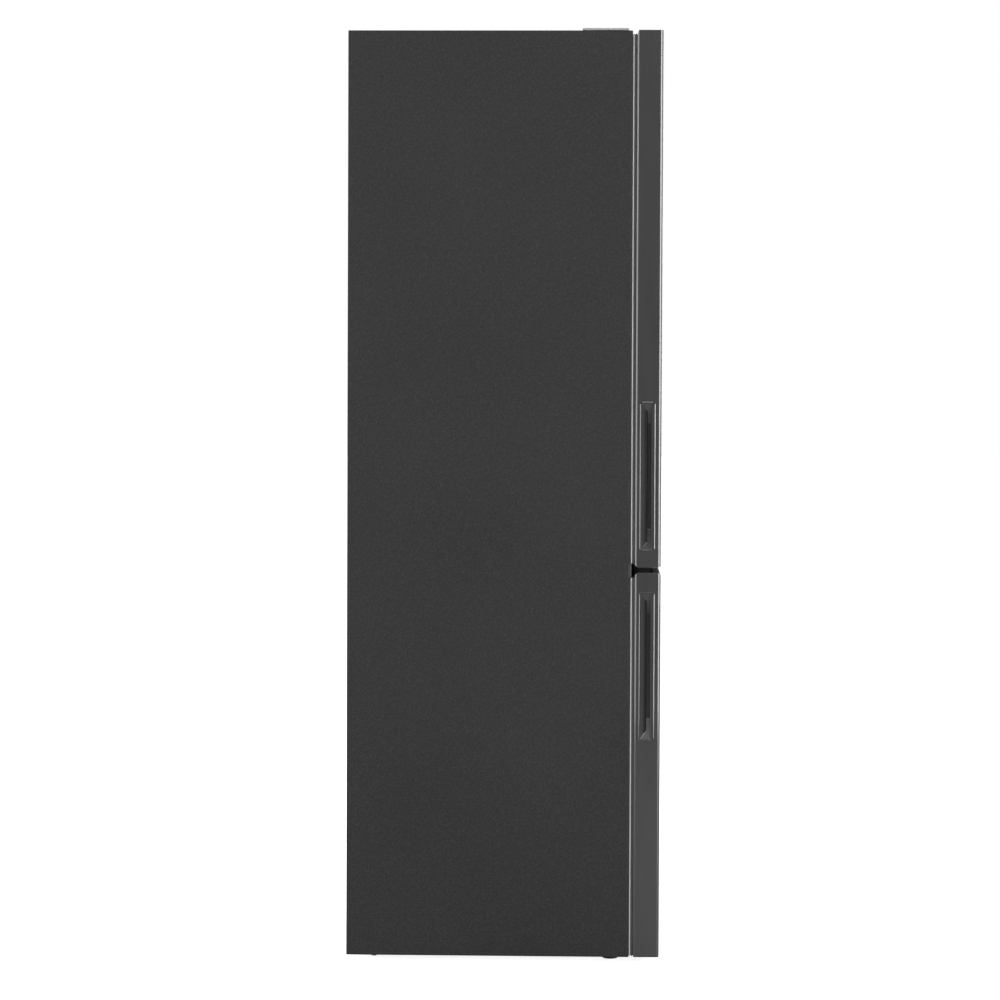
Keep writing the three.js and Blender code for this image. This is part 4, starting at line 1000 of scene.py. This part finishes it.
back_sheet = 0.35 * mm
bead_half, bead_end = 11 * mm, 10 * mm
plug_radius, plug_rise = 15 * mm, 0.6 * mm
facing_back = Matrix.Rotation(-math.pi / 2, 4, "X")
low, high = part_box("back_panel")
parts = [brick(low, (high.x, low.y + back_sheet, high.z))]
for x in (-196 * mm, -98 * mm, 0, 98 * mm, 196 * mm):
    for bottom, top in ((290 * mm, 1060 * mm), (1130 * mm, 1900 * mm)):
        parts.append(moulding([
            (*grown((x - bead_half, bottom), (x + bead_half, top), -inset), bead_end - inset, low.y + rise)
            for inset, rise in ((0, 0.3 * mm), (0.1 * mm, 0.6 * mm), (0.8 * mm, 0.9 * mm), (2.4 * mm, mm))],
            "y", steps=6))
for k in range(7):
    z = low.z + 12 * mm + k * (high.z - low.z - 24 * mm) / 6
    for x in (low.x + 9 * mm, high.x - 9 * mm):
        parts.append(screw_head((x, low.y + 0.3 * mm, z), (0, 1, 0), 0.65 * mm))
for x in (-147 * mm, 147 * mm):
    plug = rod(plug_radius, 0, plug_rise, 0, 0, 32)
    round_off(plug, 0.4 * mm, 2, lambda m: near(m.z, plug_rise))
    parts.append(moved(plug, (x, low.y + back_sheet, 1095 * mm), facing_back))
set_piece("back_sheet", gather(*parts), "cabinet", back_coating, "back_panel")

# ---- machine cover
# A black moulded grille closes the machine compartment at the back. Each of its slots has a slanted
# fin behind it, and six screws hold it. The cord's gland is clipped into its lower corner.
fin_turn = Matrix.Rotation(math.radians(38), 4, "X")
slot_pitch = 18 * mm
low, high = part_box("machine_cover")
plate = brick(low, high)
round_off(plate, 0.8 * mm, 2, lambda m: near(m.y, high.y))
slots = []
fins = []
for x in (-120 * mm, 120 * mm):
    for k in range(6):
        z = 70 * mm + k * slot_pitch
        slots.append(slot(x, z, 80 * mm, 3 * mm, low.y - mm, high.y + mm))
        fin = brick((x - 88 * mm, -0.6 * mm, -5 * mm), (x + 88 * mm, 0.6 * mm, 5 * mm))
        fins.append(moved(fin, (0, low.y - 4 * mm, z), fin_turn))
gland_low, gland_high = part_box("cord_gland")
seat = (gland_low + gland_high) / 2
hole = moved(rod(8.3 * mm, -5 * mm, 5 * mm, 0, 0, 32), (seat.x, high.y, seat.z), facing_back)
heads = [screw_head((x * mm, high.y - 0.1 * mm, z * mm), (0, 1, 0), 1.6 * mm)
         for x in (-280, 0, 280) for z in (30, 192)]
set_piece("machine_grille", gather(carve(plate, *slots, hole), *fins, *heads), "cabinet",
          black_moulding, "machine_cover")
gland = turned([(4, 0), (5.2, 0), (5.6, -0.6), (12.4, -0.6), (13.6, -1.2), (14, -2), (14, -2.7),
                (8, -2.7), (7.2, -3.6), (7.2, -6), (8, -6.8), (8, -12.7), (4, -12.7), (4, 0)])
set_piece("cord_gland_ring", moved(gland, (seat.x, gland_high.y, seat.z), facing_back), "cabinet",
          black_rubber, "cord_gland")

# ---- foam and kept solids
# The doors' yellow foam is a plain block inside the sheet, clear of the grip. What lies inside the
# cabinet's walls and the machine compartment keeps its own shape and only gets its material.
foam = Finish("foam", Specular_IOR_Level=0.2)
bubbles = foam.cells(1.4 * mm)
foam.coat(bubbles, (0.62, 0.50, 0.22, 1), (0.82, 0.72, 0.42, 1), 0.85 + bubbles * 0.1)
foam.relief(bubbles, 0.3 * mm)
aluminium = Finish("aluminium", Metallic=0.95)
rolled = aluminium.noise(0.004, 3, aluminium.stretched((1, 1, 0.1)))
aluminium.coat(rolled, grey(0.55, 0.01), grey(0.66, 0.01), 0.26 + rolled * 0.2)
copper = Finish("copper", Metallic=0.95)
tarnish = copper.noise(0.012, 4)
copper.coat(tarnish, (0.30, 0.12, 0.06, 1), (0.56, 0.26, 0.15, 1), 0.28 + tarnish * 0.25)

foam_inset = 6 * mm
for door in doors:
    low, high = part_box(door + "_skin")
    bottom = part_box(door + "_bottom_cap")[1].z
    filling = brick((low.x + foam_inset, low.y + 1.5 * mm, bottom + mm),
                    (high.x - foam_inset, high.y - 2.6 * mm, high.z - (bottom - low.z) - mm))
    filling = carve(filling, brick(*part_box(door + "_grip")))
    set_piece(door + "_filling", filling, door, foam, door + "_foam")
kept = {"insulation_foam": foam, "base_pan": zinc, "compressor": black_paint,
        "condenser_coil": copper, "filter_drier": copper, "suction_line": copper,
        "evaporator": aluminium, "relay_box": black_moulding, "drip_tray": black_moulding,
        "fan_motor": black_moulding, "evaporator_fan": black_moulding,
        "control_board_box": white_moulding}
for name, finish in kept.items():
    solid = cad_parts[name]
    solid.data.materials.clear()
    solid.data.materials.append(finish.material)
